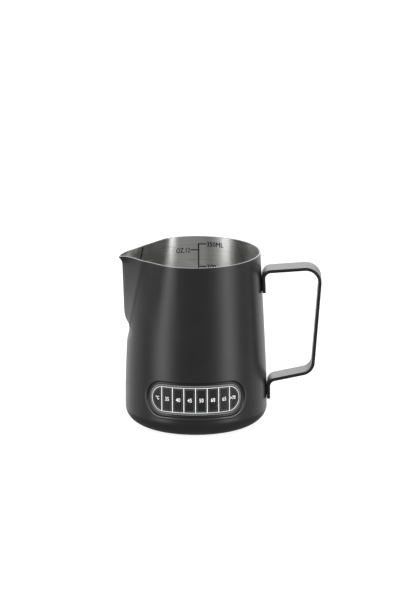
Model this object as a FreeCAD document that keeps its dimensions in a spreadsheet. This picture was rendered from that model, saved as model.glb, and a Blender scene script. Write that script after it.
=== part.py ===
import FreeCAD, Part
import os
import math
import Sketcher
from FreeCAD import Vector

# Milk frothing pitcher, 350 ml: a drawn steel cup with a pressed V spout welded
# in, a bent strap handle spot-welded to the wall, and a liquid-crystal
# thermometer strip bonded into a shallow recess near the foot.
# Frame: origin at the middle of the flat foot, +Z up, spout towards -X,
# handle towards +X, thermometer strip facing -Y. Millimetres.

os.makedirs("parts", exist_ok=True)
doc = FreeCAD.newDocument("frothing_pitcher")

# ---------------------------------------------------------------- dimensions
sheet = doc.addObject("Spreadsheet::Sheet", "Dimensions")
values = [
    # cup
    ("foot_radius", 38.5), ("mouth_radius", 35.2), ("cup_height", 95.0),
    ("wall", 0.8), ("knee_height", 25.0), ("knee_blend", 5.0),
    ("foot_fillet_width", 12.5), ("foot_fillet_rise", 9.5),
    # spout: ridge line, crease line and lip
    ("spout_start", 52.0), ("chin_height", 54.8), ("spout_mouth_angle", 50.3), ("crease_top_x", 28.5),
    ("crease_slope", 0.187), ("cheek_depth", 2.9), ("notch_depth", 1.15),
    ("ridge_round", 1.6), ("crease_round", 0.9), ("seam_width", 0.7),
    # thermometer recess
    ("recess_mid", 21.85), ("recess_depth", 1.2), ("recess_half", 9.7),
    ("recess_floor_half", 8.9), ("end_angle", 27.2), ("cell_pitch", 9.63),
    # thermometer strip
    ("pad_thick", 0.15), ("pad_half", 7.9), ("carrier_thick", 0.25),
    ("carrier_half", 8.2), ("print_thick", 0.1), ("panel_half", 7.0),
    ("line_width", 0.55), ("cover_thick", 0.2), ("cover_half", 7.25),
    # handle strap
    ("strap_thick", 1.8), ("strap_width", 13.8), ("strap_edge", 0.4),
    ("tab_gap", 0.03), ("upper_tab_low", 73.5), ("lower_tab_low", 14.1),
    ("bar_start_rise", 84.4), ("grip_top_x", 67.05), ("grip_top_rise", 86.4),
    ("grip_low_x", 62.43), ("grip_low_rise", 30.0), ("bar_low_rise", 25.0),
    ("bend_top", 3.3), ("bend_grip_top", 6.8), ("bend_grip_low", 5.8),
    ("bend_low", 4.8),
    # spot welds
    ("nugget_radius", 2.0), ("nugget_depth", 0.4), ("nugget_upper_a", 80.6),
    ("nugget_upper_b", 76.2), ("nugget_lower_a", 20.9), ("nugget_lower_b", 16.7),
]
for row, (name, value) in enumerate(values, start=1):
    sheet.set("A%d" % row, name)
    sheet.set("B%d" % row, str(value))
    sheet.setAlias("B%d" % row, name)
doc.recompute()
D = {name: float(sheet.get(name)) for name, _ in values}


def cell(name):
    return "Dimensions.%s" % name


# ------------------------------------------------------------------ helpers
def plane_of(body, role):
    for feature in body.Origin.OriginFeatures:
        if feature.Role == role:
            return feature
    raise RuntimeError("no plane %s" % role)


def new_body(name):
    body = doc.addObject("PartDesign::Body", name)
    return body


def new_sketch(body, name, role):
    sketch = body.newObject("Sketcher::SketchObject", name)
    sketch.AttachmentSupport = [(plane_of(body, role), "")]
    sketch.MapMode = "FlatFace"
    return sketch


def bound(sketch, kind, *args):
    """Add a driving constraint whose value is an expression on the sheet."""
    expression = args[-1]
    places = args[:-1]
    if kind == "Radius":
        start = sketch.Geometry[places[0]].Radius
    else:
        one = sketch.getPoint(places[0], places[1])
        two = sketch.getPoint(places[2], places[3])
        start = two.x - one.x if kind == "DistanceX" else two.y - one.y
    index = sketch.addConstraint(Sketcher.Constraint(kind, *places, start))
    sketch.setExpression("Constraints[%d]" % index, expression)
    return index


def smooth_step(u):
    u = min(1.0, max(0.0, u))
    return u * u * (3.0 - 2.0 * u)


def table(points, x):
    """Smooth monotone interpolation through a short table."""
    xs = [p[0] for p in points]
    ys = [p[1] for p in points]
    n = len(xs)
    if x <= xs[0]:
        return ys[0] + (x - xs[0]) * (ys[1] - ys[0]) / (xs[1] - xs[0])
    if x >= xs[-1]:
        return ys[-1] + (x - xs[-1]) * (ys[-1] - ys[-2]) / (xs[-1] - xs[-2])
    slope = [(ys[i + 1] - ys[i]) / (xs[i + 1] - xs[i]) for i in range(n - 1)]
    tang = [slope[0]] + [0.0] * (n - 2) + [slope[-1]]
    for i in range(1, n - 1):
        if slope[i - 1] * slope[i] > 0:
            w1 = 2 * (xs[i + 1] - xs[i]) + (xs[i] - xs[i - 1])
            w2 = (xs[i + 1] - xs[i]) + 2 * (xs[i] - xs[i - 1])
            tang[i] = (w1 + w2) / (w1 / slope[i - 1] + w2 / slope[i])
    for i in range(n - 1):
        if x <= xs[i + 1]:
            break
    dx = xs[i + 1] - xs[i]
    u = (x - xs[i]) / dx
    return ((1 + 2 * u) * (1 - u) ** 2 * ys[i] + u * (1 - u) ** 2 * dx * tang[i]
            + u * u * (3 - 2 * u) * ys[i + 1] + u * u * (u - 1) * dx * tang[i + 1])


# ---------------------------------------------------------------- cup form
def cup_radius(z):
    """Outer radius of the round cup: straight foot, then an even taper."""
    slope = (D["foot_radius"] - D["mouth_radius"]) / (D["cup_height"] - D["knee_height"])
    b = D["knee_blend"]
    return D["foot_radius"] - slope * b * math.log(1.0 + math.exp((z - D["knee_height"]) / b))


# distance of the front ridge from the axis, by height
RIDGE = [(50.0, 36.25), (53.6, 35.97), (55.4, 36.6), (57.4, 37.73), (59.5, 38.48),
         (63.0, 38.94), (70.0, 39.15), (78.0, 39.43), (86.0, 39.68), (95.0, 39.85), (100.0, 40.0)]
# the lip curls outwards at the tip
FLARE = [(84.0, 0.0), (87.5, 0.03), (89.7, 0.3), (91.0, 1.05), (91.8, 1.65),
         (92.4, 2.2), (94.0, 3.5), (99.0, 7.0)]
# depth that pressing the spout pulls the cheeks in, by angle from the spout
CHEEK = [(0.0, 0.72), (20.0, 0.80), (29.3, 0.90), (39.5, 1.0), (50.0, 0.80),
         (60.0, 0.33), (67.0, 0.11), (76.0, 0.0), (180.0, 0.0)]


def form_radius(angle, z):
    """Outer radius of the pressed cup at an angle (degrees from the spout)."""
    a = abs(angle)
    round_cup = cup_radius(z)
    if z < 40.0:
        return round_cup
    w = min(1.0, max(0.0, (z - 50.0) / 45.0)) ** 1.5
    base = round_cup - w * D["cheek_depth"] * table(CHEEK, a)
    base -= D["notch_depth"] * math.exp(-((z - 52.8) / 4.2) ** 2) * math.exp(-(a / 13.0) ** 2)
    if z <= D["spout_start"] or a > 75.0:
        return base
    # V wall from the ridge to the crease
    ridge = table(RIDGE, z)
    crease_x = D["crease_top_x"] + D["crease_slope"] * (D["cup_height"] - z)
    w_c = round_cup - w * D["cheek_depth"] * 0.88
    if crease_x >= w_c - 0.02:
        crease_a = 3.0
    else:
        crease_a = max(3.0, math.degrees(math.acos(crease_x / w_c)))
    ca = math.radians(crease_a)
    r_c = round_cup - w * D["cheek_depth"] * table(CHEEK, crease_a)
    cy, cx = r_c * math.sin(ca), r_c * math.cos(ca)
    run = ridge - cx
    if run <= 0.01:
        return base
    beta = math.atan2(cy, run)
    eps = math.radians(D["ridge_round"]) * min(1.0, run / 3.0 + 0.3)
    aa = math.sqrt(math.radians(a) ** 2 + eps ** 2)
    lift = ridge * (math.sin(eps + beta) / math.sin(beta))
    if a <= crease_a:
        v = lift * math.sin(beta) / math.sin(aa + beta)
    else:
        ac = math.sqrt(ca ** 2 + eps ** 2)
        v_c = lift * math.sin(beta) / math.sin(ac + beta)
        slope = -v_c * math.cos(ac + beta) / math.sin(ac + beta)
        slope = min(slope, -6.0)
        v = v_c + slope * math.radians(a - crease_a) - 6.0 * math.radians(a - crease_a) ** 2
    flare = table(FLARE, z) if z > 84.0 else 0.0
    if a < crease_a:
        v += flare * (1.0 - a / crease_a) ** 3
    soft = D["crease_round"] * smooth_step((z - 53.0) / 12.0) + 0.08
    diff = v - base
    return 0.5 * (v + base + math.sqrt(diff * diff + soft * soft)) - 0.25 * soft * soft / (abs(diff) + soft)


def form_point(angle, z, r):
    a = math.radians(angle)
    return Vector(-r * math.cos(a), r * math.sin(a), z)


def inner_radius(angle, z, wall):
    """Radius of the sheet's inner face: the outer face moved in by the wall."""
    ang, zz = angle, z
    for _ in range(6):
        d = 0.25
        p = form_point(ang, zz, form_radius(ang, zz))
        pa = form_point(ang + d, zz, form_radius(ang + d, zz)) - form_point(ang - d, zz, form_radius(ang - d, zz))
        pz = form_point(ang, zz + d, form_radius(ang, zz + d)) - form_point(ang, zz - d, form_radius(ang, zz - d))
        n = pa.cross(pz)
        n.normalize()
        if n.x * p.x + n.y * p.y > 0:
            n = n * -1.0
        q = p + n * wall
        got = math.degrees(math.atan2(q.y, -q.x))
        if abs(angle) > 179.0:
            got = angle
        ang += angle - got
        zz += z - q.z
        r = math.hypot(q.x, q.y)
    return r


COLUMNS = 112
angles = []
for i in range(COLUMNS + 1):
    u = -1.0 + 2.0 * i / COLUMNS
    angles.append(72.0 * u + 108.0 * u ** 3)
LEVELS = [12.0, 17.5, 23.0, 28.5, 34.0, 39.5, 44.0, 47.0, 49.5, 51.5, 53.2, 54.7, 56.2,
          57.8, 59.5, 61.5, 64.0, 67.0, 70.5, 74.5, 78.5, 82.0, 85.0, 87.3, 89.0,
          90.3, 91.4, 92.4, 93.5, 95.0, 97.0, 99.0]


def skin_solid(wall):
    """Closed form bounded by the sheet's outer (wall 0) or inner face."""
    fw, fr = D["foot_fillet_width"] - wall, D["foot_fillet_rise"] - wall
    flat = D["foot_radius"] - D["foot_fillet_width"]
    grid = []
    for k in range(10):
        t = math.radians(10.0 * k)
        r, z = flat + fw * math.sin(t), wall + fr * (1.0 - math.cos(t))
        grid.append([form_point(a, z, r) for a in angles])
    for z in LEVELS:
        row = []
        for i, a in enumerate(angles):
            if i > COLUMNS // 2:
                mirror = row[COLUMNS - i]
                row.append(Vector(mirror.x, -mirror.y, z))
            else:
                r = form_radius(a, z) if wall == 0 else inner_radius(a, z, wall)
                row.append(form_point(a, z, r))
        grid.append(row)
    # the end columns meet on the handle side
    for row in grid:
        x = row[0].x
        row[0] = Vector(x, 0.0, row[0].z)
        row[-1] = Vector(x, 0.0, row[0].z)
    # smooth half skins that share the ridge and the back line
    columns = [[grid[j][i] for j in range(len(grid))] for i in range(COLUMNS + 1)]
    surface = Part.BSplineSurface()
    surface.interpolate(columns)
    u0, u1, v0, v1 = surface.bounds()
    um = 0.5 * (u0 + u1)
    faces = []
    rims = {0: [], 1: []}
    for lo, hi in ((u0, um), (um, u1)):
        half = surface.copy()
        half.segment(lo, hi, v0, v1)
        faces.append(half.toShape())
        rims[0].append(half.vIso(v0).toShape())
        rims[1].append(half.vIso(v1).toShape())
    for k in (0, 1):
        faces.append(Part.Face(Part.Wire(Part.sortEdges(rims[k])[0])))
    shell = Part.Shell(faces)
    shell.sewShape()
    solid = Part.Solid(shell)
    if solid.Volume < 0:
        solid.reverse()
    return solid


outer_form = doc.addObject("Part::Feature", "OuterForm")
outer_form.Shape = skin_solid(0.0)
inner_form = doc.addObject("Part::Feature", "InnerForm")
inner_form.Shape = skin_solid(D["wall"])
print("outer form", outer_form.Shape.isValid(), round(outer_form.Shape.Volume / 1000, 2), "ml")
print("inner form", inner_form.Shape.isValid(), round(inner_form.Shape.Volume / 1000, 2), "ml")


# -------------------------------------------------- stadium tools on the wall
def cylinder(name, radius, low, height, angle=None, turn=None):
    obj = doc.addObject("Part::Cylinder", name)
    obj.setExpression("Radius", radius)
    obj.setExpression("Height", height)
    if angle is not None:
        obj.setExpression("Angle", angle)
    obj.setExpression("Placement.Base.z", low)
    if turn is not None:
        obj.setExpression("Placement.Rotation.Angle", turn)
    return obj


def fuse(name, shapes):
    obj = doc.addObject("Part::MultiFuse", name)
    obj.Shapes = shapes
    return obj


def cut(name, base, tool):
    obj = doc.addObject("Part::Cut", name)
    obj.Base, obj.Tool = base, tool
    return obj


def common(name, one, two):
    obj = doc.addObject("Part::MultiCommon", name)
    obj.Shapes = [one, two]
    return obj


def radial(name, sign, radius, reach=44.0):
    """Round pin of the stadium's end, lying along a radius of the cup."""
    obj = doc.addObject("Part::Cylinder", name)
    obj.setExpression("Radius", radius)
    obj.Height = reach
    direction = math.radians(-90.0 + sign * D["end_angle"])
    obj.Placement = FreeCAD.Placement(
        Vector(0, 0, D["recess_mid"]),
        FreeCAD.Rotation(Vector(0, 0, 1), Vector(math.cos(direction), math.sin(direction), 0)))
    return obj


def stadium_tool(name, half):
    """Round-ended band wrapped on the front of the cup, as a radial prism."""
    mid = cylinder(name + "_mid", "44 mm", "(%s - %s) * 1 mm" % (cell("recess_mid"), half),
                   "2 * %s * 1 mm" % half, "2 * %s * 1 deg" % cell("end_angle"),
                   "(-90 - %s) * 1 deg" % cell("end_angle"))
    left = radial(name + "_left", -1, "%s * 1 mm" % half)
    right = radial(name + "_right", 1, "%s * 1 mm" % half)
    return fuse(name, [mid, left, right])


def ring(name, inner, outer):
    low, tall = "(%s - 15) * 1 mm" % cell("recess_mid"), "30 mm"
    big = cylinder(name + "_out", outer, low, tall)
    small = cylinder(name + "_in", inner, low, tall)
    return cut(name, big, small)


FLOOR = "(%s - %s)" % (cell("foot_radius"), cell("recess_depth"))


def sloped_tool(name, floor_half, top_half, floor_r, top_r):
    """Recess tool whose wall flares from the floor to the cup's face."""
    # revolved trapezoid between the two rounded ends
    body = new_body(name + "_band")
    sk = new_sketch(body, name + "_trapezoid", "XZ_Plane")
    f_r, t_r = eval_cell(floor_r), eval_cell(top_r)
    grow = (eval_cell(top_half) - eval_cell(floor_half)) / (t_r - f_r)
    # start 2 below the floor and end 2 above the face, on the same slope
    h_in = eval_cell(floor_half) - 2.0 * grow
    h_out = eval_cell(top_half) + 2.0 * grow
    zc = D["recess_mid"]
    pts = [Vector(f_r - 2, zc - h_in), Vector(t_r + 2, zc - h_out),
           Vector(t_r + 2, zc + h_out), Vector(f_r - 2, zc + h_in)]
    for i in range(4):
        sk.addGeometry(Part.LineSegment(pts[i], pts[(i + 1) % 4]), False)
    for i in range(4):
        sk.addConstraint(Sketcher.Constraint("Coincident", i, 2, (i + 1) % 4, 1))
    sk.addConstraint(Sketcher.Constraint("Vertical", 1))
    sk.addConstraint(Sketcher.Constraint("Vertical", 3))
    slope = "(%s - %s) / (%s - %s)" % (top_half, floor_half, top_r, floor_r)
    bound(sk, "DistanceX", -1, 1, 0, 1, "(%s - 2) * 1 mm" % floor_r)
    bound(sk, "DistanceX", -1, 1, 0, 2, "(%s + 2) * 1 mm" % top_r)
    bound(sk, "DistanceY", -1, 1, 0, 1, "(%s - %s + 2 * %s) * 1 mm" % (cell("recess_mid"), floor_half, slope))
    bound(sk, "DistanceY", -1, 1, 0, 2, "(%s - %s - 2 * %s) * 1 mm" % (cell("recess_mid"), top_half, slope))
    bound(sk, "DistanceY", -1, 1, 3, 1, "(%s + %s - 2 * %s) * 1 mm" % (cell("recess_mid"), floor_half, slope))
    bound(sk, "DistanceY", -1, 1, 1, 2, "(%s + %s + 2 * %s) * 1 mm" % (cell("recess_mid"), top_half, slope))
    rev = body.newObject("PartDesign::Revolution", name + "_sweep")
    rev.Profile = sk
    rev.ReferenceAxis = (sk, ["V_Axis"])
    rev.Midplane = True
    rev.setExpression("Angle", "2 * %s * 1 deg" % cell("end_angle"))
    body.Placement = FreeCAD.Placement(Vector(0, 0, 0), FreeCAD.Rotation(Vector(0, 0, 1), -90))
    pieces = [body]
    for sign, tag in ((-1, "left"), (1, "right")):
        cone = doc.addObject("Part::Cone", "%s_%s" % (name, tag))
        cone.setExpression("Radius1", "(%s - 2 * %s) * 1 mm" % (floor_half, slope))
        cone.setExpression("Radius2", "(%s + 2 * %s) * 1 mm" % (top_half, slope))
        cone.setExpression("Height", "(%s - %s + 4) * 1 mm" % (top_r, floor_r))
        d = math.radians(-90.0 + sign * D["end_angle"])
        start = f_r - 2.0
        cone.Placement = FreeCAD.Placement(
            Vector(start * math.cos(d), start * math.sin(d), zc),
            FreeCAD.Rotation(Vector(0, 0, 1), Vector(math.cos(d), math.sin(d), 0)))
        pieces.append(cone)
    whole = fuse(name + "_whole", pieces)
    core = cylinder(name + "_core", "%s * 1 mm" % floor_r, "(%s - 25) * 1 mm" % cell("recess_mid"), "60 mm")
    return cut(name, whole, core)


def eval_cell(expression):
    for name, value in sorted(D.items(), key=lambda kv: -len(kv[0])):
        expression = expression.replace("Dimensions.%s" % name, repr(value))
    total = 0.0
    for term in expression.replace("(", "").replace(")", "").replace(" - ", " + -").split(" + "):
        total += float(term.replace("--", ""))
    return total


recess_outer = sloped_tool("RecessOuter", cell("recess_floor_half"), cell("recess_half"),
                           FLOOR, cell("foot_radius"))
recess_inner = sloped_tool("RecessInner",
                           "(%s + %s)" % (cell("recess_floor_half"), "0.55"),
                           "(%s + %s)" % (cell("recess_half"), "0.55"),
                           "(%s - %s - %s)" % (cell("foot_radius"), cell("recess_depth"), cell("wall")),
                           "(%s - %s)" % (cell("foot_radius"), cell("wall")))
doc.recompute()

outer_pressed = cut("OuterPressed", outer_form, recess_outer)
inner_pressed = cut("InnerPressed", inner_form, recess_inner)
sheet_shell = cut("SheetShell", outer_pressed, inner_pressed)

# lip line seen from the side: level, then drooping to the spout tip
lip = doc.addObject("Part::Feature", "LipTrim")
LIP = [(-60.0, 0.0), (14.0, 0.0), (18.0, 0.06), (21.5, 0.2), (24.7, 0.38), (29.0, 0.6),
       (33.4, 0.75), (37.7, 1.05), (39.9, 1.6), (41.0, 2.1), (41.9, 2.65), (44.0, 4.2), (50.0, 9.0)]
lip_points = []
for k in range(61):
    x = 12.0 + (50.0 - 12.0) * k / 60.0
    lip_points.append(Vector(-x, -60.0, D["cup_height"] - max(0.0, table(LIP, x))))
lip_curve = Part.BSplineCurve()
lip_curve.interpolate(lip_points)
start, end = lip_points[0], lip_points[-1]
roof = D["cup_height"] + 15.0
lip_wire = Part.Wire([
    lip_curve.toShape(),
    Part.makeLine(end, Vector(end.x, -60, roof)),
    Part.makeLine(Vector(end.x, -60, roof), Vector(60, -60, roof)),
    Part.makeLine(Vector(60, -60, roof), Vector(60, -60, D["cup_height"])),
    Part.makeLine(Vector(60, -60, D["cup_height"]), start)])
lip.Shape = Part.Face(lip_wire).extrude(Vector(0, 120, 0))
trimmed = cut("TrimmedShell", sheet_shell, lip)


# spout blank: everything in front of the crease line, seen from the side
def wedge(name, shift):
    body = new_body(name)
    sk = new_sketch(body, name + "_outline", "XZ_Plane")
    top = D["cup_height"] + 10.0
    low = D["chin_height"] - shift
    xt = -(D["crease_top_x"] - 10.0 * D["crease_slope"]) + shift
    xl = -(D["crease_top_x"] + (D["cup_height"] - low) * D["crease_slope"]) + shift
    pts = [Vector(xt, top), Vector(-60, top), Vector(-60, low), Vector(xl, low)]
    for i in range(4):
        sk.addGeometry(Part.LineSegment(pts[i], pts[(i + 1) % 4]), False)
    for i in range(4):
        sk.addConstraint(Sketcher.Constraint("Coincident", i, 2, (i + 1) % 4, 1))
    sk.addConstraint(Sketcher.Constraint("Horizontal", 0))
    sk.addConstraint(Sketcher.Constraint("Vertical", 1))
    sk.addConstraint(Sketcher.Constraint("Horizontal", 2))
    bound(sk, "DistanceY", -1, 1, 0, 1, "(%s + 10) * 1 mm" % cell("cup_height"))
    bound(sk, "DistanceY", -1, 1, 2, 2, "(%s - %s) * 1 mm" % (cell("chin_height"), "0" if shift == 0 else cell("seam_width")))
    bound(sk, "DistanceX", 0, 1, -1, 1,
          "(%s - 10 * %s - %s) * 1 mm" % (cell("crease_top_x"), cell("crease_slope"), "0" if shift == 0 else cell("seam_width")))
    bound(sk, "DistanceX", 2, 2, -1, 1,
          "(%s + (%s - %s + %s) * %s - %s) * 1 mm" % (
              cell("crease_top_x"), cell("cup_height"), cell("chin_height"), "0" if shift == 0 else cell("seam_width"),
              cell("crease_slope"), "0" if shift == 0 else cell("seam_width")))
    bound(sk, "DistanceX", 1, 1, -1, 1, "60 mm")
    pad = body.newObject("PartDesign::Pad", name + "_pad")
    pad.Profile = sk
    pad.Midplane = True
    pad.Length = 120.0
    return body


spout_side = wedge("SpoutSide", 0.0)
seam_side = wedge("SeamSide", D["seam_width"])
doc.recompute()

cup_blank = cut("CupBlank", trimmed, seam_side)
spout = common("spout", trimmed, spout_side)
seam_band = cut("SeamBand", seam_side, spout_side)
seam = common("spout_weld_seam", trimmed, seam_band)

# ------------------------------------------------------------ handle strap
strap_body = new_body("StrapBody")
sk = new_sketch(strap_body, "strap_outline", "XZ_Plane")
tilt_slope = (cup_radius(D["upper_tab_low"]) - cup_radius(D["bar_start_rise"])) / (D["bar_start_rise"] - D["upper_tab_low"])
t = D["strap_thick"]
tab_x = cup_radius(D["upper_tab_low"]) + D["tab_gap"] + t
bar_x = cup_radius(D["bar_start_rise"]) + D["tab_gap"] + t
low_x = D["foot_radius"] + D["tab_gap"]
corners = [(tab_x, D["upper_tab_low"]), (bar_x, D["bar_start_rise"]),
           (D["grip_top_x"], D["grip_top_rise"]), (D["grip_low_x"], D["grip_low_rise"]),
           (low_x, D["bar_low_rise"]), (low_x, D["lower_tab_low"])]
inner_r = [D["bend_top"], D["bend_grip_top"], D["bend_grip_low"], D["bend_low"]]
outer_r = [D["bend_top"] + t, D["bend_grip_top"] + t, D["bend_grip_low"] + t, D["bend_low"] - t]


def rounded(points, radii):
    """Lines and arcs of a rounded open path, with the arc centres."""
    parts = []
    here = Vector(points[0][0], points[0][1], 0)
    for i, radius in enumerate(radii, start=1):
        a = Vector(points[i - 1][0], points[i - 1][1], 0)
        b = Vector(points[i][0], points[i][1], 0)
        c = Vector(points[i + 1][0], points[i + 1][1], 0)
        u = (a - b).normalize()
        w = (c - b).normalize()
        half = 0.5 * math.acos(max(-1.0, min(1.0, u.dot(w))))
        back = radius / math.tan(half)
        p, q = b + u * back, b + w * back
        centre = b + (u + w).normalize() * (radius / math.sin(half))
        parts.append(("line", here, p))
        parts.append(("arc", p, q, centre, radius))
        here = q
    parts.append(("line", here, Vector(points[-1][0], points[-1][1], 0)))
    return parts


def offset_points(points, dist):
    """The same corner path moved sideways by the sheet thickness."""
    dirs = []
    for i in range(len(points) - 1):
        v = Vector(points[i + 1][0] - points[i][0], points[i + 1][1] - points[i][1], 0).normalize()
        dirs.append(v)
    out = []
    for i, p in enumerate(points):
        q = Vector(p[0], p[1], 0)
        if i == 0:
            n = Vector(-dirs[0].y, dirs[0].x, 0)
            out.append(q + n * dist)
        elif i == len(points) - 1:
            n = Vector(-dirs[-1].y, dirs[-1].x, 0)
            out.append(q + n * dist)
        else:
            n1 = Vector(-dirs[i - 1].y, dirs[i - 1].x, 0)
            n2 = Vector(-dirs[i].y, dirs[i].x, 0)
            m = (n1 + n2)
            k = dist / (0.5 * m.dot(m))
            out.append(q + m * k)
    return [(v.x, v.y) for v in out]


faces_in = rounded(corners, inner_r)
faces_out = rounded(offset_points(corners, t), outer_r)


def add_path(parts):
    ids = []
    for item in parts:
        if item[0] == "line":
            ids.append(sk.addGeometry(Part.LineSegment(item[1], item[2]), False))
        else:
            _, p, q, centre, radius = item
            a0 = math.atan2(p.y - centre.y, p.x - centre.x)
            a1 = math.atan2(q.y - centre.y, q.x - centre.x)
            turn = (a1 - a0) % (2 * math.pi)
            circle = Part.Circle(centre, Vector(0, 0, 1), radius)
            if turn <= math.pi:
                ids.append((sk.addGeometry(Part.ArcOfCircle(circle, a0, a0 + turn), False), 1, 2))
            else:
                ids.append((sk.addGeometry(Part.ArcOfCircle(circle, a1, a1 + 2 * math.pi - turn), False), 2, 1))
    return ids


ids_in = add_path(faces_in)
ids_out = add_path(faces_out)
for ids in (ids_in, ids_out):
    for k in range(1, len(ids), 2):
        arc, first, last = ids[k]
        sk.addConstraint(Sketcher.Constraint("Tangent", ids[k - 1], 2, arc, first))
        sk.addConstraint(Sketcher.Constraint("Tangent", arc, last, ids[k + 1], 1))
for k in range(1, len(ids_in), 2):
    sk.addConstraint(Sketcher.Constraint("Coincident", ids_in[k][0], 3, ids_out[k][0], 3))
names = ["bend_top", "bend_grip_top", "bend_grip_low", "bend_low"]
for k, name in enumerate(names):
    bound(sk, "Radius", ids_in[2 * k + 1][0], "%s * 1 mm" % cell(name))
    sign = "-" if name == "bend_low" else "+"
    bound(sk, "Radius", ids_out[2 * k + 1][0], "(%s %s %s) * 1 mm" % (cell(name), sign, cell("strap_thick")))
# end caps
cap0 = sk.addGeometry(Part.LineSegment(faces_in[0][1], faces_out[0][1]), False)
cap1 = sk.addGeometry(Part.LineSegment(faces_in[-1][2], faces_out[-1][2]), False)
sk.addConstraint(Sketcher.Constraint("Coincident", cap0, 1, ids_in[0], 1))
sk.addConstraint(Sketcher.Constraint("Coincident", cap0, 2, ids_out[0], 1))
sk.addConstraint(Sketcher.Constraint("Perpendicular", cap0, ids_in[0]))
sk.addConstraint(Sketcher.Constraint("Parallel", ids_out[0], ids_in[0]))
sk.addConstraint(Sketcher.Constraint("Coincident", cap1, 1, ids_in[-1], 2))
sk.addConstraint(Sketcher.Constraint("Coincident", cap1, 2, ids_out[-1], 2))
sk.addConstraint(Sketcher.Constraint("Perpendicular", cap1, ids_in[-1]))
sk.addConstraint(Sketcher.Constraint("Parallel", ids_out[-1], ids_in[-1]))
# corner positions of the finger side
bound(sk, "DistanceX", -1, 1, ids_in[0], 1, "%.6f mm + (%s + %s) * 1 mm" % (cup_radius(D["upper_tab_low"]), cell("tab_gap"), cell("strap_thick")))
bound(sk, "DistanceY", -1, 1, ids_in[0], 1, "%s * 1 mm" % cell("upper_tab_low"))
bound(sk, "DistanceX", -1, 1, ids_in[-1], 2, "(%s + %s) * 1 mm" % (cell("foot_radius"), cell("tab_gap")))
bound(sk, "DistanceY", -1, 1, ids_in[-1], 2, "%s * 1 mm" % cell("lower_tab_low"))
marks = []
for k, (x, z) in enumerate(corners[1:-1]):
    pid = sk.addGeometry(Part.Point(Vector(x, z, 0)), True)
    marks.append(pid)
    sk.addConstraint(Sketcher.Constraint("PointOnObject", pid, 1, ids_in[2 * k]))
    sk.addConstraint(Sketcher.Constraint("PointOnObject", pid, 1, ids_in[2 * k + 2]))
bound(sk, "DistanceX", -1, 1, marks[0], 1, "%.6f mm + (%s + %s) * 1 mm" % (cup_radius(D["bar_start_rise"]), cell("tab_gap"), cell("strap_thick")))
bound(sk, "DistanceY", -1, 1, marks[0], 1, "%s * 1 mm" % cell("bar_start_rise"))
bound(sk, "DistanceX", -1, 1, marks[1], 1, "%s * 1 mm" % cell("grip_top_x"))
bound(sk, "DistanceY", -1, 1, marks[1], 1, "%s * 1 mm" % cell("grip_top_rise"))
bound(sk, "DistanceX", -1, 1, marks[2], 1, "%s * 1 mm" % cell("grip_low_x"))
bound(sk, "DistanceY", -1, 1, marks[2], 1, "%s * 1 mm" % cell("grip_low_rise"))
bound(sk, "DistanceX", -1, 1, marks[3], 1, "(%s + %s) * 1 mm" % (cell("foot_radius"), cell("tab_gap")))
bound(sk, "DistanceY", -1, 1, marks[3], 1, "%s * 1 mm" % cell("bar_low_rise"))
pad = strap_body.newObject("PartDesign::Pad", "strap_pad")
pad.Profile = sk
pad.Midplane = True
pad.setExpression("Length", "%s * 1 mm" % cell("strap_width"))
doc.recompute()
print("strap outline dof state", sk.State, "pad", pad.State, round(pad.Shape.Volume, 1))
# rolled edges along both sides of the strap
edge_names = []
for index, edge in enumerate(pad.Shape.Edges, start=1):
    box = edge.BoundBox
    if abs(abs(box.Center.y) - D["strap_width"] / 2) < 1e-4 and box.YLength < 1e-4:
        edge_names.append("Edge%d" % index)
roll = strap_body.newObject("PartDesign::Fillet", "strap_edges")
roll.Base = (pad, edge_names)
roll.setExpression("Radius", "%s * 1 mm" % cell("strap_edge"))
doc.recompute()

# --------------------------------------------------------------- spot welds
lean = math.degrees(math.atan(tilt_slope))
nuggets = []
for key, upper in (("nugget_upper_a", True), ("nugget_upper_b", True),
                   ("nugget_lower_a", False), ("nugget_lower_b", False)):
    pin = doc.addObject("Part::Cylinder", key)
    pin.setExpression("Radius", "%s * 1 mm" % cell("nugget_radius"))
    pin.setExpression("Height", "(2 * %s + %s) * 1 mm" % (cell("nugget_depth"), cell("tab_gap")))
    z = D[key]
    angle = lean if upper else 0.0
    axis = Vector(math.cos(math.radians(angle)), 0, math.sin(math.radians(angle)))
    face = cup_radius(z) if upper else D["foot_radius"]
    start = Vector(face, 0, z) - axis * D["nugget_depth"]
    pin.Placement = FreeCAD.Placement(start, FreeCAD.Rotation(Vector(0, 0, 1), axis))
    nuggets.append(pin)
welds = doc.addObject("Part::Compound", "handle_spot_welds")
welds.Links = nuggets
doc.recompute()
handle = cut("handle_strap", strap_body, welds)
cup = cut("body_shell", cup_blank, welds)

# -------------------------------------------------------- thermometer strip
R_PAD = "(%s + %s)" % (FLOOR, cell("pad_thick"))
R_CARRIER = "(%s + %s)" % (R_PAD, cell("carrier_thick"))
R_PRINT = "(%s + %s)" % (R_CARRIER, cell("print_thick"))
R_COVER = "(%s + %s)" % (R_PRINT, cell("cover_thick"))


def mm(expression):
    return "%s * 1 mm" % expression


pad_layer = common("strip_adhesive_pad", stadium_tool("PadBand", cell("pad_half")),
                   ring("PadRing", mm(FLOOR), mm(R_PAD)))
carrier = common("strip_carrier_film", stadium_tool("CarrierBand", cell("carrier_half")),
                 ring("CarrierRing", mm(R_PAD), mm(R_CARRIER)))
cover = common("strip_clear_cover", stadium_tool("CoverBand", cell("cover_half")),
               ring("CoverRing", mm(R_PRINT), mm(R_COVER)))
panel = common("PanelLayer", stadium_tool("PanelBand", cell("panel_half")),
               ring("PanelRing", mm(R_CARRIER), mm(R_PRINT)))
window_band = common("WindowLayer", stadium_tool("WindowBand", "(%s - %s)" % (cell("panel_half"), cell("line_width"))),
                     ring("WindowRing", mm(R_CARRIER), mm(R_PRINT)))

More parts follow.
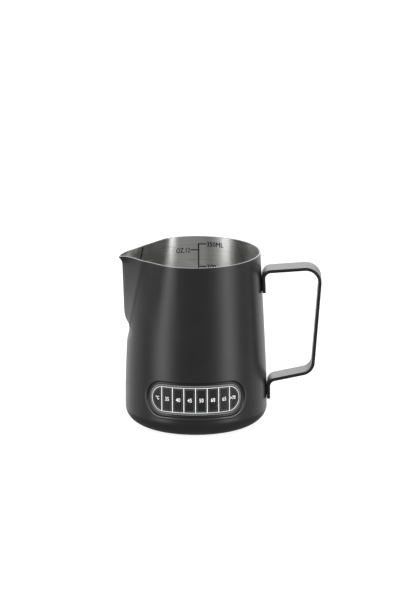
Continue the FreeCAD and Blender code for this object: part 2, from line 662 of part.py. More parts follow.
# half of a divider line, as an angle on the printed face
line_half = math.degrees(0.5 * D["line_width"] / (D["foot_radius"] - D["recess_depth"] + 0.5))
cell_names = ["strip_cell_unit", "strip_cell_35", "strip_cell_40", "strip_cell_45",
              "strip_cell_50", "strip_cell_60", "strip_cell_65", "strip_cell_over_70"]
cells = []
for k, name in enumerate(cell_names):
    lo = -90.0 + (k - 4) * D["cell_pitch"] + line_half
    hi = -90.0 + (k - 3) * D["cell_pitch"] - line_half
    if k == 0:
        lo = -90.0 - 55.0
    if k == 7:
        hi = -90.0 + 55.0
    sector = cylinder("Sector%d" % k, "44 mm", "(%s - 10) * 1 mm" % cell("recess_mid"), "20 mm")
    sector.Angle = hi - lo
    sector.Placement.Rotation = FreeCAD.Rotation(Vector(0, 0, 1), lo)
    cells.append(common(name, window_band, sector))
windows = fuse("Windows", cells)
frame = cut("strip_printed_grid", panel, windows)
doc.recompute()

# ------------------------------------------------------------------- export
nodes = [cup, spout, seam, handle, welds, pad_layer, carrier, frame] + cells + [cover]
for obj in doc.Objects:
    if "Invalid" in obj.State or "Error" in obj.State:
        raise RuntimeError("%s is %s" % (obj.Name, obj.State))
for node in nodes:
    node.Label = node.Name
    shape = node.Shape
    if shape.isNull() or not shape.isValid():
        raise RuntimeError("%s has a bad shape" % node.Name)
    box = shape.BoundBox
    print("%-22s solids %d  vol %10.2f  x %7.2f %7.2f  y %7.2f %7.2f  z %7.2f %7.2f" % (
        node.Name, len(shape.Solids), shape.Volume, box.XMin, box.XMax, box.YMin, box.YMax, box.ZMin, box.ZMax))
    shape.exportStep("parts/%s.step" % node.Name)
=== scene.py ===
import bpy, bmesh, math
import numpy as np
from mathutils import Vector, Matrix, Quaternion


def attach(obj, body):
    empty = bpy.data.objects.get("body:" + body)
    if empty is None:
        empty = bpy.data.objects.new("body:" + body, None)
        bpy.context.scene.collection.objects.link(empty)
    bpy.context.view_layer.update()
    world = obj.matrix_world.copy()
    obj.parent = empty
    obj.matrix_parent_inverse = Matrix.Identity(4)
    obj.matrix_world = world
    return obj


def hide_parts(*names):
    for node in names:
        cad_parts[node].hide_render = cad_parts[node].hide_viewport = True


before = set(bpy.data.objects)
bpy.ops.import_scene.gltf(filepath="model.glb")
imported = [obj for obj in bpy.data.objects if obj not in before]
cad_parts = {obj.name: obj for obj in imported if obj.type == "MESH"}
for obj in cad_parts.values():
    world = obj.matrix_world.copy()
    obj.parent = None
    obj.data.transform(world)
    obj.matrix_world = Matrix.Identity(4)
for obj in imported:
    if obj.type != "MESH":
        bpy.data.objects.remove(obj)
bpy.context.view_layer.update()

MM = 0.001

# =========================================================================
# The cup's form, in millimetres: same frame as the CAD
# =========================================================================
FOOT_R, MOUTH_R, TALL, WALL = 38.5, 35.2, 95.0, 0.8
KNEE, KNEE_B = 25.0, 5.0
FW, FR = 12.5, 9.5


def cup_radius(z):
    s = (FOOT_R - MOUTH_R) / (TALL - KNEE)
    return FOOT_R - s * KNEE_B * np.log1p(np.exp((np.asarray(z, float) - KNEE) / KNEE_B))


def mono(points):
    """Monotone cubic through a table, vectorised, straight beyond its ends."""
    xs = np.array([p[0] for p in points], float)
    ys = np.array([p[1] for p in points], float)
    sl = np.diff(ys) / np.diff(xs)
    tg = np.concatenate([[sl[0]], np.zeros(len(xs) - 2), [sl[-1]]])
    for i in range(1, len(xs) - 1):
        if sl[i - 1] * sl[i] > 0:
            w1 = 2 * (xs[i + 1] - xs[i]) + (xs[i] - xs[i - 1])
            w2 = (xs[i + 1] - xs[i]) + 2 * (xs[i] - xs[i - 1])
            tg[i] = (w1 + w2) / (w1 / sl[i - 1] + w2 / sl[i])

    def f(x):
        x = np.asarray(x, float)
        i = np.clip(np.searchsorted(xs, x) - 1, 0, len(xs) - 2)
        dx = xs[i + 1] - xs[i]
        u = (x - xs[i]) / dx
        uc = np.clip(u, 0, 1)
        y = ((1 + 2 * uc) * (1 - uc) ** 2 * ys[i] + uc * (1 - uc) ** 2 * dx * tg[i]
             + uc * uc * (3 - 2 * uc) * ys[i + 1] + uc * uc * (uc - 1) * dx * tg[i + 1])
        return y + np.where(u < 0, u * dx * sl[0], 0) + np.where(u > 1, (u - 1) * dx * sl[-1], 0)
    return f


RIDGE = mono([(50.0, 36.25), (53.6, 35.97), (55.4, 36.6), (57.4, 37.73), (59.5, 38.48),
              (63.0, 38.94), (70.0, 39.15), (78.0, 39.43), (86.0, 39.68), (95.0, 39.85),
              (100.0, 40.0)])
FLARE = mono([(84.0, 0.0), (87.5, 0.03), (89.7, 0.3), (91.0, 1.05), (91.8, 1.65),
              (92.4, 2.2), (94.0, 3.5), (99.0, 7.0)])
CHEEK = mono([(0.0, 0.72), (20.0, 0.80), (29.3, 0.90), (39.5, 1.0), (50.0, 0.80),
              (60.0, 0.33), (67.0, 0.11), (76.0, 0.0), (180.0, 0.0)])
LIP = mono([(-60.0, 0.0), (14.0, 0.0), (18.0, 0.06), (21.5, 0.2), (24.7, 0.38), (29.0, 0.6),
            (33.4, 0.75), (37.7, 1.05), (39.9, 1.6), (41.0, 2.1), (41.9, 2.65), (44.0, 4.2), (50.0, 9.0)])
CREASE_X, CREASE_S, CHIN = 28.5, 0.187, 54.8


def form_radius(angle, z):
    a = np.abs(np.asarray(angle, float))
    z = np.asarray(z, float)
    a, z = np.broadcast_arrays(a, z)
    rc = cup_radius(z)
    w = np.clip((z - 50.0) / 45.0, 0, 1) ** 1.5
    ck = np.maximum(CHEEK(a), 0)
    base = rc - w * 2.9 * ck
    base = base - 1.15 * np.exp(-((z - 52.8) / 4.2) ** 2) * np.exp(-(a / 13.0) ** 2) * (z >= 40)
    ridge = RIDGE(z)
    cxx = CREASE_X + CREASE_S * (TALL - z)
    wc = rc - w * 2.9 * 0.88
    ca_deg = np.maximum(3.0, np.degrees(np.arccos(np.clip(cxx / wc, -1, 1))))
    ca_deg = np.where(cxx >= wc - 0.02, 3.0, ca_deg)
    ca = np.radians(ca_deg)
    r_c = rc - w * 2.9 * CHEEK(ca_deg)
    cy, cx = r_c * np.sin(ca), r_c * np.cos(ca)
    run = ridge - cx
    ok = (z > 52.0) & (a <= 75.0) & (run > 0.01)
    run = np.maximum(run, 0.011)
    beta = np.arctan2(cy, run)
    eps = math.radians(1.6) * np.minimum(1.0, run / 3.0 + 0.3)
    aa = np.sqrt(np.radians(a) ** 2 + eps ** 2)
    lift = ridge * (np.sin(eps + beta) / np.sin(beta))
    v_in = lift * np.sin(beta) / np.sin(aa + beta)
    ac = np.sqrt(ca ** 2 + eps ** 2)
    v_c = lift * np.sin(beta) / np.sin(ac + beta)
    slope = np.minimum(-v_c * np.cos(ac + beta) / np.sin(ac + beta), -6.0)
    da = np.radians(a - ca_deg)
    v_out = v_c + slope * da - 6.0 * da ** 2
    v = np.where(a <= ca_deg, v_in, v_out)
    fl = np.where(z > 84.0, FLARE(z), 0.0)
    v = v + np.where(a < ca_deg, fl * np.clip(1.0 - a / ca_deg, 0, 1) ** 3, 0.0)
    u = np.clip((z - 53.0) / 12.0, 0, 1)
    soft = 0.9 * (u * u * (3 - 2 * u)) + 0.08
    d = v - base
    out = 0.5 * (v + base + np.sqrt(d * d + soft * soft)) - 0.25 * soft * soft / (np.abs(d) + soft)
    r = np.where(ok, out, base)
    return np.where(z < 40.0, rc, r)


# thermometer recess on the front wall
REC_Z, REC_L = 21.85, math.radians(27.2) * 38.0 + 1.2


def stadium_q(angle, z):
    """Distance from the recess's middle line, measured on the wall."""
    arc = np.radians(np.abs(np.asarray(angle, float)) - 90.0) * 38.0   # 0 at the front centre line
    arc = np.where(np.asarray(angle) > 0, 1e3, arc)                    # front is angle -90
    return np.hypot(np.maximum(np.abs(arc) - REC_L, 0), np.asarray(z, float) - REC_Z)


def dent(q, lo, hi, depth):
    u = np.clip((q - lo) / (hi - lo), 0, 1)
    # rounded shoulders with a straight flank
    f = u - np.sin(2 * np.pi * u) / (2 * np.pi) * 0.82
    return depth * (1 - f)


def rolled_edge(q, z):
    """Faint raised edge round the sides and foot of the recess."""
    return 0.19 * np.exp(-((q - 10.5) / 0.3) ** 2) * np.clip((REC_Z + 7.0 - np.asarray(z, float)) / 7.0, 0, 1)


def outer_pt(angle, z, off=0.0):
    """Point on the outer face, or moved inwards by off along the normal."""
    r = form_radius(angle, z)
    a = np.radians(angle)
    p = np.stack([-r * np.cos(a), r * np.sin(a), np.broadcast_to(z, r.shape)], -1)
    if off is None:
        return p
    n = normal(angle, z)
    return p - n * (off[..., None] if hasattr(off, "shape") else off)


def normal(angle, z, step=0.15, surf=None):
    surf = surf or (lambda A, Z: outer_pt(A, Z, None))
    pa = surf(angle + step, z) - surf(angle - step, z)
    pz = surf(angle, z + step) - surf(angle, z - step)
    n = np.cross(pa, pz)
    n /= np.linalg.norm(n, axis=-1, keepdims=True) + 1e-12
    a = np.radians(angle)
    rad = np.stack([-np.cos(a), np.sin(a), np.zeros_like(a)], -1)
    s = np.sign((n * rad).sum(-1, keepdims=True))
    return n * np.where(s == 0, 1, s)


def face_out(angle, z):
    """Outer face with its recess."""
    base = outer_pt(angle, z, None)
    q = stadium_q(angle, z)
    d = dent(q, 9.15, 10.0, 1.2) - rolled_edge(q, z)
    a = np.radians(angle)
    rad = np.stack([-np.cos(a), np.sin(a), np.zeros_like(a)], -1)
    return base - rad * d[..., None]


def face_in(angle, z):
    """Inner face: the outer one moved in by the sheet, with the recess's back."""
    base = outer_pt(angle, z, WALL)
    q = stadium_q(angle, z)
    d = dent(q, 9.0, 10.9, 1.2)
    a = np.radians(angle)
    rad = np.stack([-np.cos(a), np.sin(a), np.zeros_like(a)], -1)
    return base - rad * d[..., None]


def lip_z(angle, face):
    """Height of the sheet's cut edge at an angle."""
    z = np.full_like(angle, TALL)
    for _ in range(25):
        p = face(angle, z)
        z = 0.5 * z + 0.5 * (TALL - np.maximum(0.0, LIP(-p[..., 0])))
    return z


# =========================================================================
# Mesh helpers
# =========================================================================
def link(name, verts, faces, mats, mat_ids=None, normals=None, smooth=True):
    """One mesh object, metres, with exact vertex normals where given."""
    me = bpy.data.meshes.new(name)
    me.from_pydata([tuple(v) for v in np.asarray(verts) * MM], [], faces)
    for m in mats:
        me.materials.append(m)
    if mat_ids is not None:
        me.polygons.foreach_set("material_index", np.asarray(mat_ids, np.int32))
    me.polygons.foreach_set("use_smooth", [smooth] * len(me.polygons))
    me.update()
    if normals is not None:
        nn = np.asarray(normals, float)
        nn = nn / (np.linalg.norm(nn, axis=1, keepdims=True) + 1e-12)
        me.normals_split_custom_set_from_vertices([tuple(v) for v in nn])
    ob = bpy.data.objects.new(name, me)
    bpy.context.scene.collection.objects.link(ob)
    return ob


def finish_piece(ob, slot, *nodes):
    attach(ob, "root")
    if nodes:
        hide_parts(*nodes)
    return ob


# =========================================================================
# Materials
# =========================================================================
def new_mat(name):
    m = bpy.data.materials.new(name)
    m.use_nodes = True
    nt = m.node_tree
    nt.nodes.clear()
    out = nt.nodes.new("ShaderNodeOutputMaterial")
    b = nt.nodes.new("ShaderNodeBsdfPrincipled")
    nt.links.new(b.outputs[0], out.inputs[0])
    return m, nt, b


def node(nt, kind, **kw):
    n = nt.nodes.new(kind)
    for k, v in kw.items():
        setattr(n, k, v)
    return n


def obj_coord(nt):
    return node(nt, "ShaderNodeTexCoord").outputs["Object"]


def mapped(nt, src, scale, rot=(0, 0, 0)):
    mp = node(nt, "ShaderNodeMapping")
    mp.inputs["Scale"].default_value = scale
    mp.inputs["Rotation"].default_value = rot
    nt.links.new(src, mp.inputs["Vector"])
    return mp.outputs[0]


def noise(nt, vec, scale, detail=3.0, rough=0.55, dist=0.0):
    n = node(nt, "ShaderNodeTexNoise")
    n.inputs["Scale"].default_value = scale
    n.inputs["Detail"].default_value = detail
    n.inputs["Roughness"].default_value = rough
    n.inputs["Distortion"].default_value = dist
    nt.links.new(vec, n.inputs["Vector"])
    return n.outputs["Fac"]


def maprange(nt, src, a, b, c, d, smooth=False):
    r = node(nt, "ShaderNodeMapRange")
    if smooth:
        r.interpolation_type = "SMOOTHSTEP"
    r.inputs["From Min"].default_value = a
    r.inputs["From Max"].default_value = b
    r.inputs["To Min"].default_value = c
    r.inputs["To Max"].default_value = d
    nt.links.new(src, r.inputs["Value"])
    return r.outputs["Result"]


def ramp(nt, src, stops):
    r = node(nt, "ShaderNodeValToRGB")
    e = r.color_ramp.elements
    while len(e) < len(stops):
        e.new(0.5)
    for i, (p, c) in enumerate(stops):
        e[i].position = p
        e[i].color = (*c, 1.0)
    nt.links.new(src, r.inputs[0])
    return r.outputs[0]


def math_node(nt, op, a, b=None):
    n = node(nt, "ShaderNodeMath", operation=op)
    for i, v in enumerate((a, b)):
        if v is None:
            continue
        if isinstance(v, (int, float)):
            n.inputs[i].default_value = v
        else:
            nt.links.new(v, n.inputs[i])
    return n.outputs[0]


def bump(nt, src, strength, dist, prev=None):
    b = node(nt, "ShaderNodeBump")
    b.inputs["Strength"].default_value = strength
    b.inputs["Distance"].default_value = dist
    nt.links.new(src, b.inputs["Height"])
    if prev is not None:
        nt.links.new(prev, b.inputs["Normal"])
    return b.outputs[0]


def cyl_coord(nt):
    """Object point as (arc length round the cup, height, radius)."""
    sep = node(nt, "ShaderNodeSeparateXYZ")
    nt.links.new(obj_coord(nt), sep.inputs[0])
    ang = math_node(nt, "ARCTAN2", sep.outputs[1], sep.outputs[0])
    arc = math_node(nt, "MULTIPLY", ang, 0.036)
    comb = node(nt, "ShaderNodeCombineXYZ")
    nt.links.new(arc, comb.inputs[0])
    nt.links.new(sep.outputs[2], comb.inputs[1])
    return comb.outputs[0]


def coat_material(name, tone=0.0098, seed=0.0):
    """Satin charcoal coating: fine orange peel, faint mottling, polished wear."""
    m, nt, b = new_mat(name)
    oc = obj_coord(nt)
    shift = node(nt, "ShaderNodeMapping")
    shift.inputs["Location"].default_value = (seed, seed * 0.7, seed * 1.3)
    nt.links.new(oc, shift.inputs["Vector"])
    v = shift.outputs[0]
    cloud = noise(nt, v, 55.0, 4.0, 0.6)
    grain = noise(nt, v, 2600.0, 2.0, 0.6)
    mixf = math_node(nt, "ADD", math_node(nt, "MULTIPLY", cloud, 0.75), math_node(nt, "MULTIPLY", grain, 0.25))
    lo, hi = tone * 0.82, tone * 1.20
    col = ramp(nt, mixf, [(0.30, (lo, lo * 1.005, lo * 1.01)), (0.52, (tone, tone * 1.0, tone * 1.0)),
                          (0.74, (hi, hi * 1.0, hi * 0.99))])
    nt.links.new(col, b.inputs["Base Color"])
    smear = noise(nt, v, 28.0, 5.0, 0.65, 0.6)
    fine = noise(nt, v, 900.0, 2.0, 0.5)
    rr = math_node(nt, "ADD", maprange(nt, smear, 0.3, 0.7, 0.315, 0.365), maprange(nt, fine, 0.3, 0.7, -0.02, 0.02))
    nt.links.new(rr, b.inputs["Roughness"])
    peel = noise(nt, v, 1500.0, 2.0, 0.5)
    n1 = bump(nt, peel, 0.10, 0.00006)
    n2 = bump(nt, noise(nt, v, 160.0, 3.0, 0.5), 0.08, 0.0002, n1)
    nt.links.new(n2, b.inputs["Normal"])
    b.inputs["Specular IOR Level"].default_value = 0.43
    b.inputs["Coat Weight"].default_value = 0.0
    return m


def brushed_material(name, seed=0.0, base=0.655, aniso=0.93):
    """Stainless steel brushed round the cup: fine lines along the arc."""
    m, nt, b = new_mat(name)
    cc = cyl_coord(nt)
    sh = node(nt, "ShaderNodeMapping")
    sh.inputs["Location"].default_value = (seed, seed, 0)
    nt.links.new(cc, sh.inputs["Vector"])
    cc = sh.outputs[0]
    lines = noise(nt, mapped(nt, cc, (18.0, 2600.0, 1.0)), 1.0, 3.0, 0.65)
    broad = noise(nt, mapped(nt, cc, (30.0, 420.0, 1.0)), 1.0, 3.0, 0.6)
    cloud = noise(nt, mapped(nt, cc, (60.0, 60.0, 1.0)), 1.0, 3.0, 0.5)
    f = math_node(nt, "ADD", math_node(nt, "MULTIPLY", lines, 0.5), math_node(nt, "MULTIPLY", broad, 0.5))
    f2 = math_node(nt, "ADD", math_node(nt, "MULTIPLY", f, 0.8), math_node(nt, "MULTIPLY", cloud, 0.2))
    col = ramp(nt, f2, [(0.33, (base * 0.72, base * 0.718, base * 0.712)), (0.5, (base, base * 0.998, base * 0.99)),
                        (0.68, (base * 1.22, base * 1.22, base * 1.212))])
    nt.links.new(col, b.inputs["Base Color"])
    b.inputs["Metallic"].default_value = 1.0
    nt.links.new(maprange(nt, f, 0.32, 0.68, 0.345, 0.25), b.inputs["Roughness"])
    b.inputs["Anisotropic"].default_value = aniso
    b.inputs["Anisotropic Rotation"].default_value = 0.25
    tg = node(nt, "ShaderNodeTangent", direction_type="RADIAL", axis="Z")
    nt.links.new(tg.outputs[0], b.inputs["Tangent"])
    n1 = bump(nt, lines, 0.22, 0.00004)
    n2 = bump(nt, broad, 0.16, 0.00010, n1)
    nt.links.new(n2, b.inputs["Normal"])
    return m


def plain_steel(name, base=0.62, rough=0.28):
    m, nt, b = new_mat(name)
    oc = obj_coord(nt)
    c = noise(nt, oc, 420.0, 3.0, 0.6)
    col = ramp(nt, c, [(0.3, (base * 0.8,) * 3), (0.7, (base * 1.12, base * 1.11, base * 1.09))])
    nt.links.new(col, b.inputs["Base Color"])
    b.inputs["Metallic"].default_value = 1.0
    nt.links.new(maprange(nt, c, 0.3, 0.7, rough - 0.05, rough + 0.08), b.inputs["Roughness"])
    nt.links.new(bump(nt, noise(nt, oc, 1800.0, 2.0), 0.15, 0.00003), b.inputs["Normal"])
    return m


def film_material(name, col, rough=0.35, var=0.12, grain_scale=1400.0, spec=0.5, coat=0.0):
    """Printed or moulded film: slight mottle, fine grain, uneven gloss."""
    m, nt, b = new_mat(name)
    oc = obj_coord(nt)
    c1 = noise(nt, oc, 240.0, 4.0, 0.6)
    c2 = noise(nt, oc, grain_scale, 2.0, 0.5)
    f = math_node(nt, "ADD", math_node(nt, "MULTIPLY", c1, 0.6), math_node(nt, "MULTIPLY", c2, 0.4))
    r, g, bl = col
    out = ramp(nt, f, [(0.32, (r * (1 - var), g * (1 - var), bl * (1 - var))), (0.68, (r * (1 + var), g * (1 + var), bl * (1 + var)))])
    nt.links.new(out, b.inputs["Base Color"])
    nt.links.new(maprange(nt, c1, 0.3, 0.7, rough - 0.05, rough + 0.06), b.inputs["Roughness"])
    nt.links.new(bump(nt, c1, 0.06, 0.00003), b.inputs["Normal"])
    b.inputs["Specular IOR Level"].default_value = spec
    b.inputs["Coat Weight"].default_value = coat
    return m


def clear_material(name):
    """Clear lens film: nearly all see-through, with a faint uneven gloss."""
    m, nt, b = new_mat(name)
    oc = obj_coord(nt)
    b.inputs["Base Color"].default_value = (0.05, 0.05, 0.05, 1.0)
    b.inputs["Alpha"].default_value = 0.04
    b.inputs["Specular IOR Level"].default_value = 0.3
    nt.links.new(maprange(nt, noise(nt, oc, 300.0, 3.0), 0.3, 0.7, 0.36, 0.44), b.inputs["Roughness"])
    nt.links.new(bump(nt, noise(nt, oc, 120.0, 2.0), 0.03, 0.0001), b.inputs["Normal"])
    return m


M_COAT = coat_material("coat_charcoal")
M_COAT_SPOUT = M_COAT
M_HANDLE = coat_material("coat_charcoal_handle", 0.0105, 0.31)
M_STEEL = brushed_material("steel_brushed_inside")
M_RIM = plain_steel("steel_bare_rim", 0.21, 0.35)
M_WELD = plain_steel("steel_weld", 0.085, 0.42)
M_NUGGET = plain_steel("steel_nugget", 0.5, 0.4)
M_CARRIER = film_material("film_grey_carrier", (0.058, 0.060, 0.060), 0.42, 0.2, 1400.0, 0.3)
M_PRINT = film_material("print_white", (0.80, 0.80, 0.79), 0.5, 0.05, 1400.0, 0.3)
M_DIGIT = film_material("print_digits", (0.92, 0.92, 0.91), 0.5, 0.04, 1400.0, 0.3)
# painted highlight: a light grey film colour standing in for the light caught by the carrier's edge
M_PAINTED_EDGE_HIGHLIGHT = film_material("painted_edge_highlight", (0.20, 0.20, 0.20), 0.45, 0.12, 1400.0, 0.3)
M_CELL = film_material("cell_dark", (0.0085, 0.009, 0.0095), 0.36, 0.22, 900.0, 0.22)
M_CELL_LINE = film_material("cell_border", (0.075, 0.076, 0.077), 0.4, 0.15, 900.0, 0.2)
M_PAD = film_material("foam_adhesive", (0.03, 0.03, 0.03), 0.8, 0.2)
M_ETCH = film_material("etched_mark", (0.007, 0.007, 0.0065), 0.6, 0.25, 1400.0, 0.2)
M_CLEAR = clear_material("film_clear")


# =========================================================================
# Cup and spout
# =========================================================================
def spaced(lo, hi, fn):
    """Positions from lo to hi with a spacing that fn gives locally."""
    out = [lo]
    while out[-1] < hi - 1e-9:
        out.append(out[-1] + fn(out[-1]))
    out = np.array(out)
    return lo + (out - lo) * (hi - lo) / (out[-1] - lo)


def ang_step(a):
    s = 1.4
    if abs(a) < 34:
        s = 0.45 + 0.02 * abs(a)
    if -141 < a < -39:
        s = min(s, 0.42)
    if 36.5 < abs(a + 90) < 46.5:
        s = 0.3
    return s


def z_step(z):
    if 10.8 < z < 13.8 or 30.0 < z < 32.6:
        return 0.17
    if 9.5 < z < 33.5:
        return 0.3
    if 51 < z < 66:
        return 0.4
    if z > 84:
        return 0.4
    return 0.9


A_OUT = spaced(-180.0, 180.0, ang_step)[:-1]
Z_OUT = spaced(FR, TALL, z_step)


def build_wall(face, angles, zs, flat_r, fw, fr, z0, inside):
    """Closed skin from the foot's centre to the cut edge. Rows of points."""
    na = len(angles)
    lip = lip_z(angles, face) - 0.16
    rows, norms = [], []
    sgn = -1.0 if inside else 1.0
    ar = np.radians(angles)
    rad = np.stack([-np.cos(ar), np.sin(ar), np.zeros_like(ar)], -1)
    for r in (flat_r * 0.25, flat_r * 0.5, flat_r * 0.75, flat_r * 0.93, flat_r):
        rows.append(rad * r + np.array([0, 0, z0]))
        norms.append(np.tile([0, 0, -1.0 * sgn], (na, 1)))
    for k in range(1, 19):
        t = math.radians(5.0 * k)
        if k == 18:
            break
        r, z = flat_r + fw * math.sin(t), z0 + fr * (1 - math.cos(t))
        rows.append(rad * r + np.array([0, 0, z]))
        n = rad * (fr * math.sin(t)) + np.array([0, 0, -fw * math.cos(t)])
        n = n / np.linalg.norm(n, axis=1, keepdims=True)
        norms.append(n * sgn)
    for z in zs:
        u = max(0.0, (z - 80.0) / (TALL - 80.0))
        zz = np.where(z > 80.0, 80.0 + (lip - 80.0) * u, z) if z > 80 else np.full(na, z)
        p = face(angles, zz)
        rows.append(p)
        norms.append(normal(angles, zz, 0.12, face) * sgn)
    return rows, norms


out_rows, out_norms = build_wall(face_out, A_OUT, Z_OUT, FOOT_R - FW, FW, FR, 0.0, False)
A_IN = spaced(-180.0, 180.0, lambda a: 0.55 + 0.02 * abs(a) if abs(a) < 34 else (0.9 if -141 < a < -39 else 1.5))[:-1]
Z_IN = spaced(FR, TALL, lambda z: 0.5 if 9 < z < 33 else (0.5 if 51 < z < 66 else (0.5 if z > 84 else 1.1)))


def face_in_upright(angle, z):
    """Inner face as a function of its own height."""
    zz = np.broadcast_to(np.asarray(z, float), np.shape(angle)).copy() if np.ndim(angle) else np.asarray(z, float)
    p = face_in(angle, zz)
    for _ in range(4):
        zz = zz + (z - p[..., 2])
        p = face_in(angle, zz)
    return p


in_rows, in_norms = build_wall(face_in_upright, A_IN, Z_IN, FOOT_R - FW, FW - WALL, FR - WALL, WALL, True)


def skin_object(rows, norms, name, mats, mat, flip):
    """Grid rows to vertices and quads, closed round and over the centre."""
    na = len(rows[0])
    v = np.concatenate(rows)
    n = np.concatenate(norms)
    faces = []
    for j in range(len(rows) - 1):
        b0, b1 = j * na, (j + 1) * na
        for i in range(na):
            k = (i + 1) % na
            q = (b0 + i, b0 + k, b1 + k, b1 + i)
            faces.append(q if not flip else q[::-1])
    c = len(v)
    zc = rows[0][0][2]
    v = np.vstack([v, [[0, 0, zc]]])
    n = np.vstack([n, [norms[0][0]]])
    for i in range(na):
        k = (i + 1) % na
        q = (c, k, i)
        faces.append(q if not flip else q[::-1])
    return v, n, faces, [mat] * len(faces)


def rim_rows():
    """Rounded bare edge between the outer and the inner skin."""
    A = A_OUT
    lo = lip_z(A, face_out) - 0.16
    li = lip_z(A, face_in_upright) - 0.16
    po = face_out(A, lo)
    pi = face_in_upright(A, li)
    no = normal(A, lo, 0.12, face_out)
    rows, norms = [], []
    across = pi - po
    width = np.linalg.norm(across, axis=1, keepdims=True)
    d = across / width
    up = np.cross(np.roll(po, -1, 0) - np.roll(po, 1, 0), d)
    up /= np.linalg.norm(up, axis=1, keepdims=True)
    up *= np.sign(up[:, 2:3])
    for k in range(0, 13):
        if k <= 6:
            t = math.radians(15.0 * k)
            x = 0.16 * (1 - math.cos(t)) * 1.0
            h = 0.16 * math.sin(t)
            rows.append(po + d * x + up * h)
            norms.append(-d * math.cos(t) + up * math.sin(t))
        if k > 6:
            t = math.radians(15.0 * (12 - k))
            x = 0.16 * (1 - math.cos(t))
            h = 0.16 * math.sin(t)
            rows.append(pi - d * x + up * h)
            norms.append(d * math.cos(t) + up * math.sin(t))
        if k == 6:
            t = math.radians(90.0)
            rows.append(pi - d * 0.16 + up * 0.16)
            norms.append(up.copy())
    return rows, norms


vo, no_, fo, mo = skin_object(out_rows, out_norms, "o", None, 0, False)
vi, ni_, fi, mi = skin_object(in_rows, in_norms, "i", None, 1, True)
rr, rn = rim_rows()
# the rim's inner edge meets the inner skin's top row, which has its own spacing
na = len(A_OUT)
vr = np.concatenate(rr)
nr = np.concatenate(rn)
fr_faces = []
for j in range(len(rr) - 1):
    b0, b1 = j * na, (j + 1) * na
    for i in range(na):
        k = (i + 1) % na
        fr_faces.append((b0 + i, b0 + k, b1 + k, b1 + i))


def orient(v, n, faces):
    """Turn faces so that they agree with the vertex normals."""
    f = np.array([q[:3] for q in faces])
    fn = np.cross(v[f[:, 1]] - v[f[:, 0]], v[f[:, 2]] - v[f[:, 0]])
    want = n[f].sum(1)
    s = (fn * want).sum(1)
    return [q if s[i] >= 0 else q[::-1] for i, q in enumerate(faces)]


V = np.vstack([vo, vi, vr])
N = np.vstack([no_, ni_, nr])
F = list(fo) + [tuple(x + len(vo) for x in q) for q in fi] + [tuple(x + len(vo) + len(vi) for x in q) for q in fr_faces]
MI = mo + mi + [2] * len(fr_faces)
F = orient(V, N, F)


def split_by_seam(V, N, F, MI):
    """Cut the skin along the crease plane into cup and spout."""
    bm = bmesh.new()
    lay = bm.verts.layers.float_vector.new("nrm")
    vs = []
    for p, n in zip(V, N):
        b = bm.verts.new(p)
        b[lay] = Vector(n)
        vs.append(b)
    for q, m in zip(F, MI):
        try:
            f = bm.faces.new([vs[i] for i in q])
            f.material_index = m
        except ValueError:
            pass
    # crease plane: x = -(28.5 + 0.187 (95 - z))
    pn = Vector((1.0, 0.0, -CREASE_S)).normalized()
    pc = Vector((-CREASE_X, 0.0, TALL))
    near = [f for f in bm.faces if min((v.co - pc).dot(pn) for v in f.verts) < 0.8 and max(v.co.z for v in f.verts) > CHIN - 2.0
            and max(v.co.x for v in f.verts) < -20]
    geom = list({v for f in near for v in f.verts}) + list({e for f in near for e in f.edges}) + near
    bmesh.ops.bisect_plane(bm, geom=geom, dist=1e-5, plane_co=pc, plane_no=pn)
    near = [f for f in bm.faces if f.calc_center_median().x < -30 and abs(f.calc_center_median().z - CHIN) < 2.0
            and (f.calc_center_median() - pc).dot(pn) < 0]
    geom = list({v for f in near for v in f.verts}) + list({e for f in near for e in f.edges}) + near
    bmesh.ops.bisect_plane(bm, geom=geom, dist=1e-5, plane_co=Vector((0, 0, CHIN)), plane_no=Vector((0, 0, 1)))
    bm.faces.ensure_lookup_table()
    side = {}
    for f in bm.faces:
        c = f.calc_center_median()
        side[f.index] = (c - pc).dot(pn) < 0 and c.z > CHIN and c.x < -20
    parts = []
    for want in (False, True):
        idx, vv, nn, ff, mm_ = {}, [], [], [], []
        for f in bm.faces:
            if side[f.index] != want:
                continue
            q = []
            for v in f.verts:
                if v not in idx:
                    idx[v] = len(vv)
                    vv.append(tuple(v.co))
                    nn.append(tuple(v[lay]))
                q.append(idx[v])
            ff.append(tuple(q))
            mm_.append(f.material_index)
        parts.append((np.array(vv), np.array(nn), ff, mm_))
    bm.free()
    return parts


(cv, cn, cf, cm), (sv, sn, sf, sm) = split_by_seam(V, N, F, MI)
cup = link("body_shell_coated", cv, cf, [M_COAT, M_STEEL, M_RIM], cm, cn)
finish_piece(cup, "coated_steel", "body_shell")
spout = link("spout_pressed", sv, sf, [M_COAT_SPOUT, M_STEEL, M_RIM], sm, sn)
finish_piece(spout, "coated_steel", "spout")


# =========================================================================
# Weld seam: a low ground bead down the inside of the crease
# =========================================================================
def seam_line(face, shift=0.0):
    """Points of the crease plane on a face, from the far lip round the chin."""
    zs = np.concatenate([np.linspace(TALL - 1.0, 60.0, 70), np.linspace(59.5, CHIN + 0.3, 20)])
    target = -(CREASE_X + CREASE_S * (TALL - zs)) + shift
    zero = np.zeros_like(zs)
    keep = face(zero, zs)[:, 0] <= target
    n = len(zs) if keep.all() else int(np.argmin(keep))
    zs, target = zs[:n], target[:n]
    lo, hi = np.zeros(n), np.full(n, 60.0)
    for _ in range(34):
        mid = 0.5 * (lo + hi)
        less = face(mid, zs)[:, 0] < target
        lo = np.where(less, mid, lo)
        hi = np.where(less, hi, mid)
    return list(zip(0.5 * (lo + hi), zs))


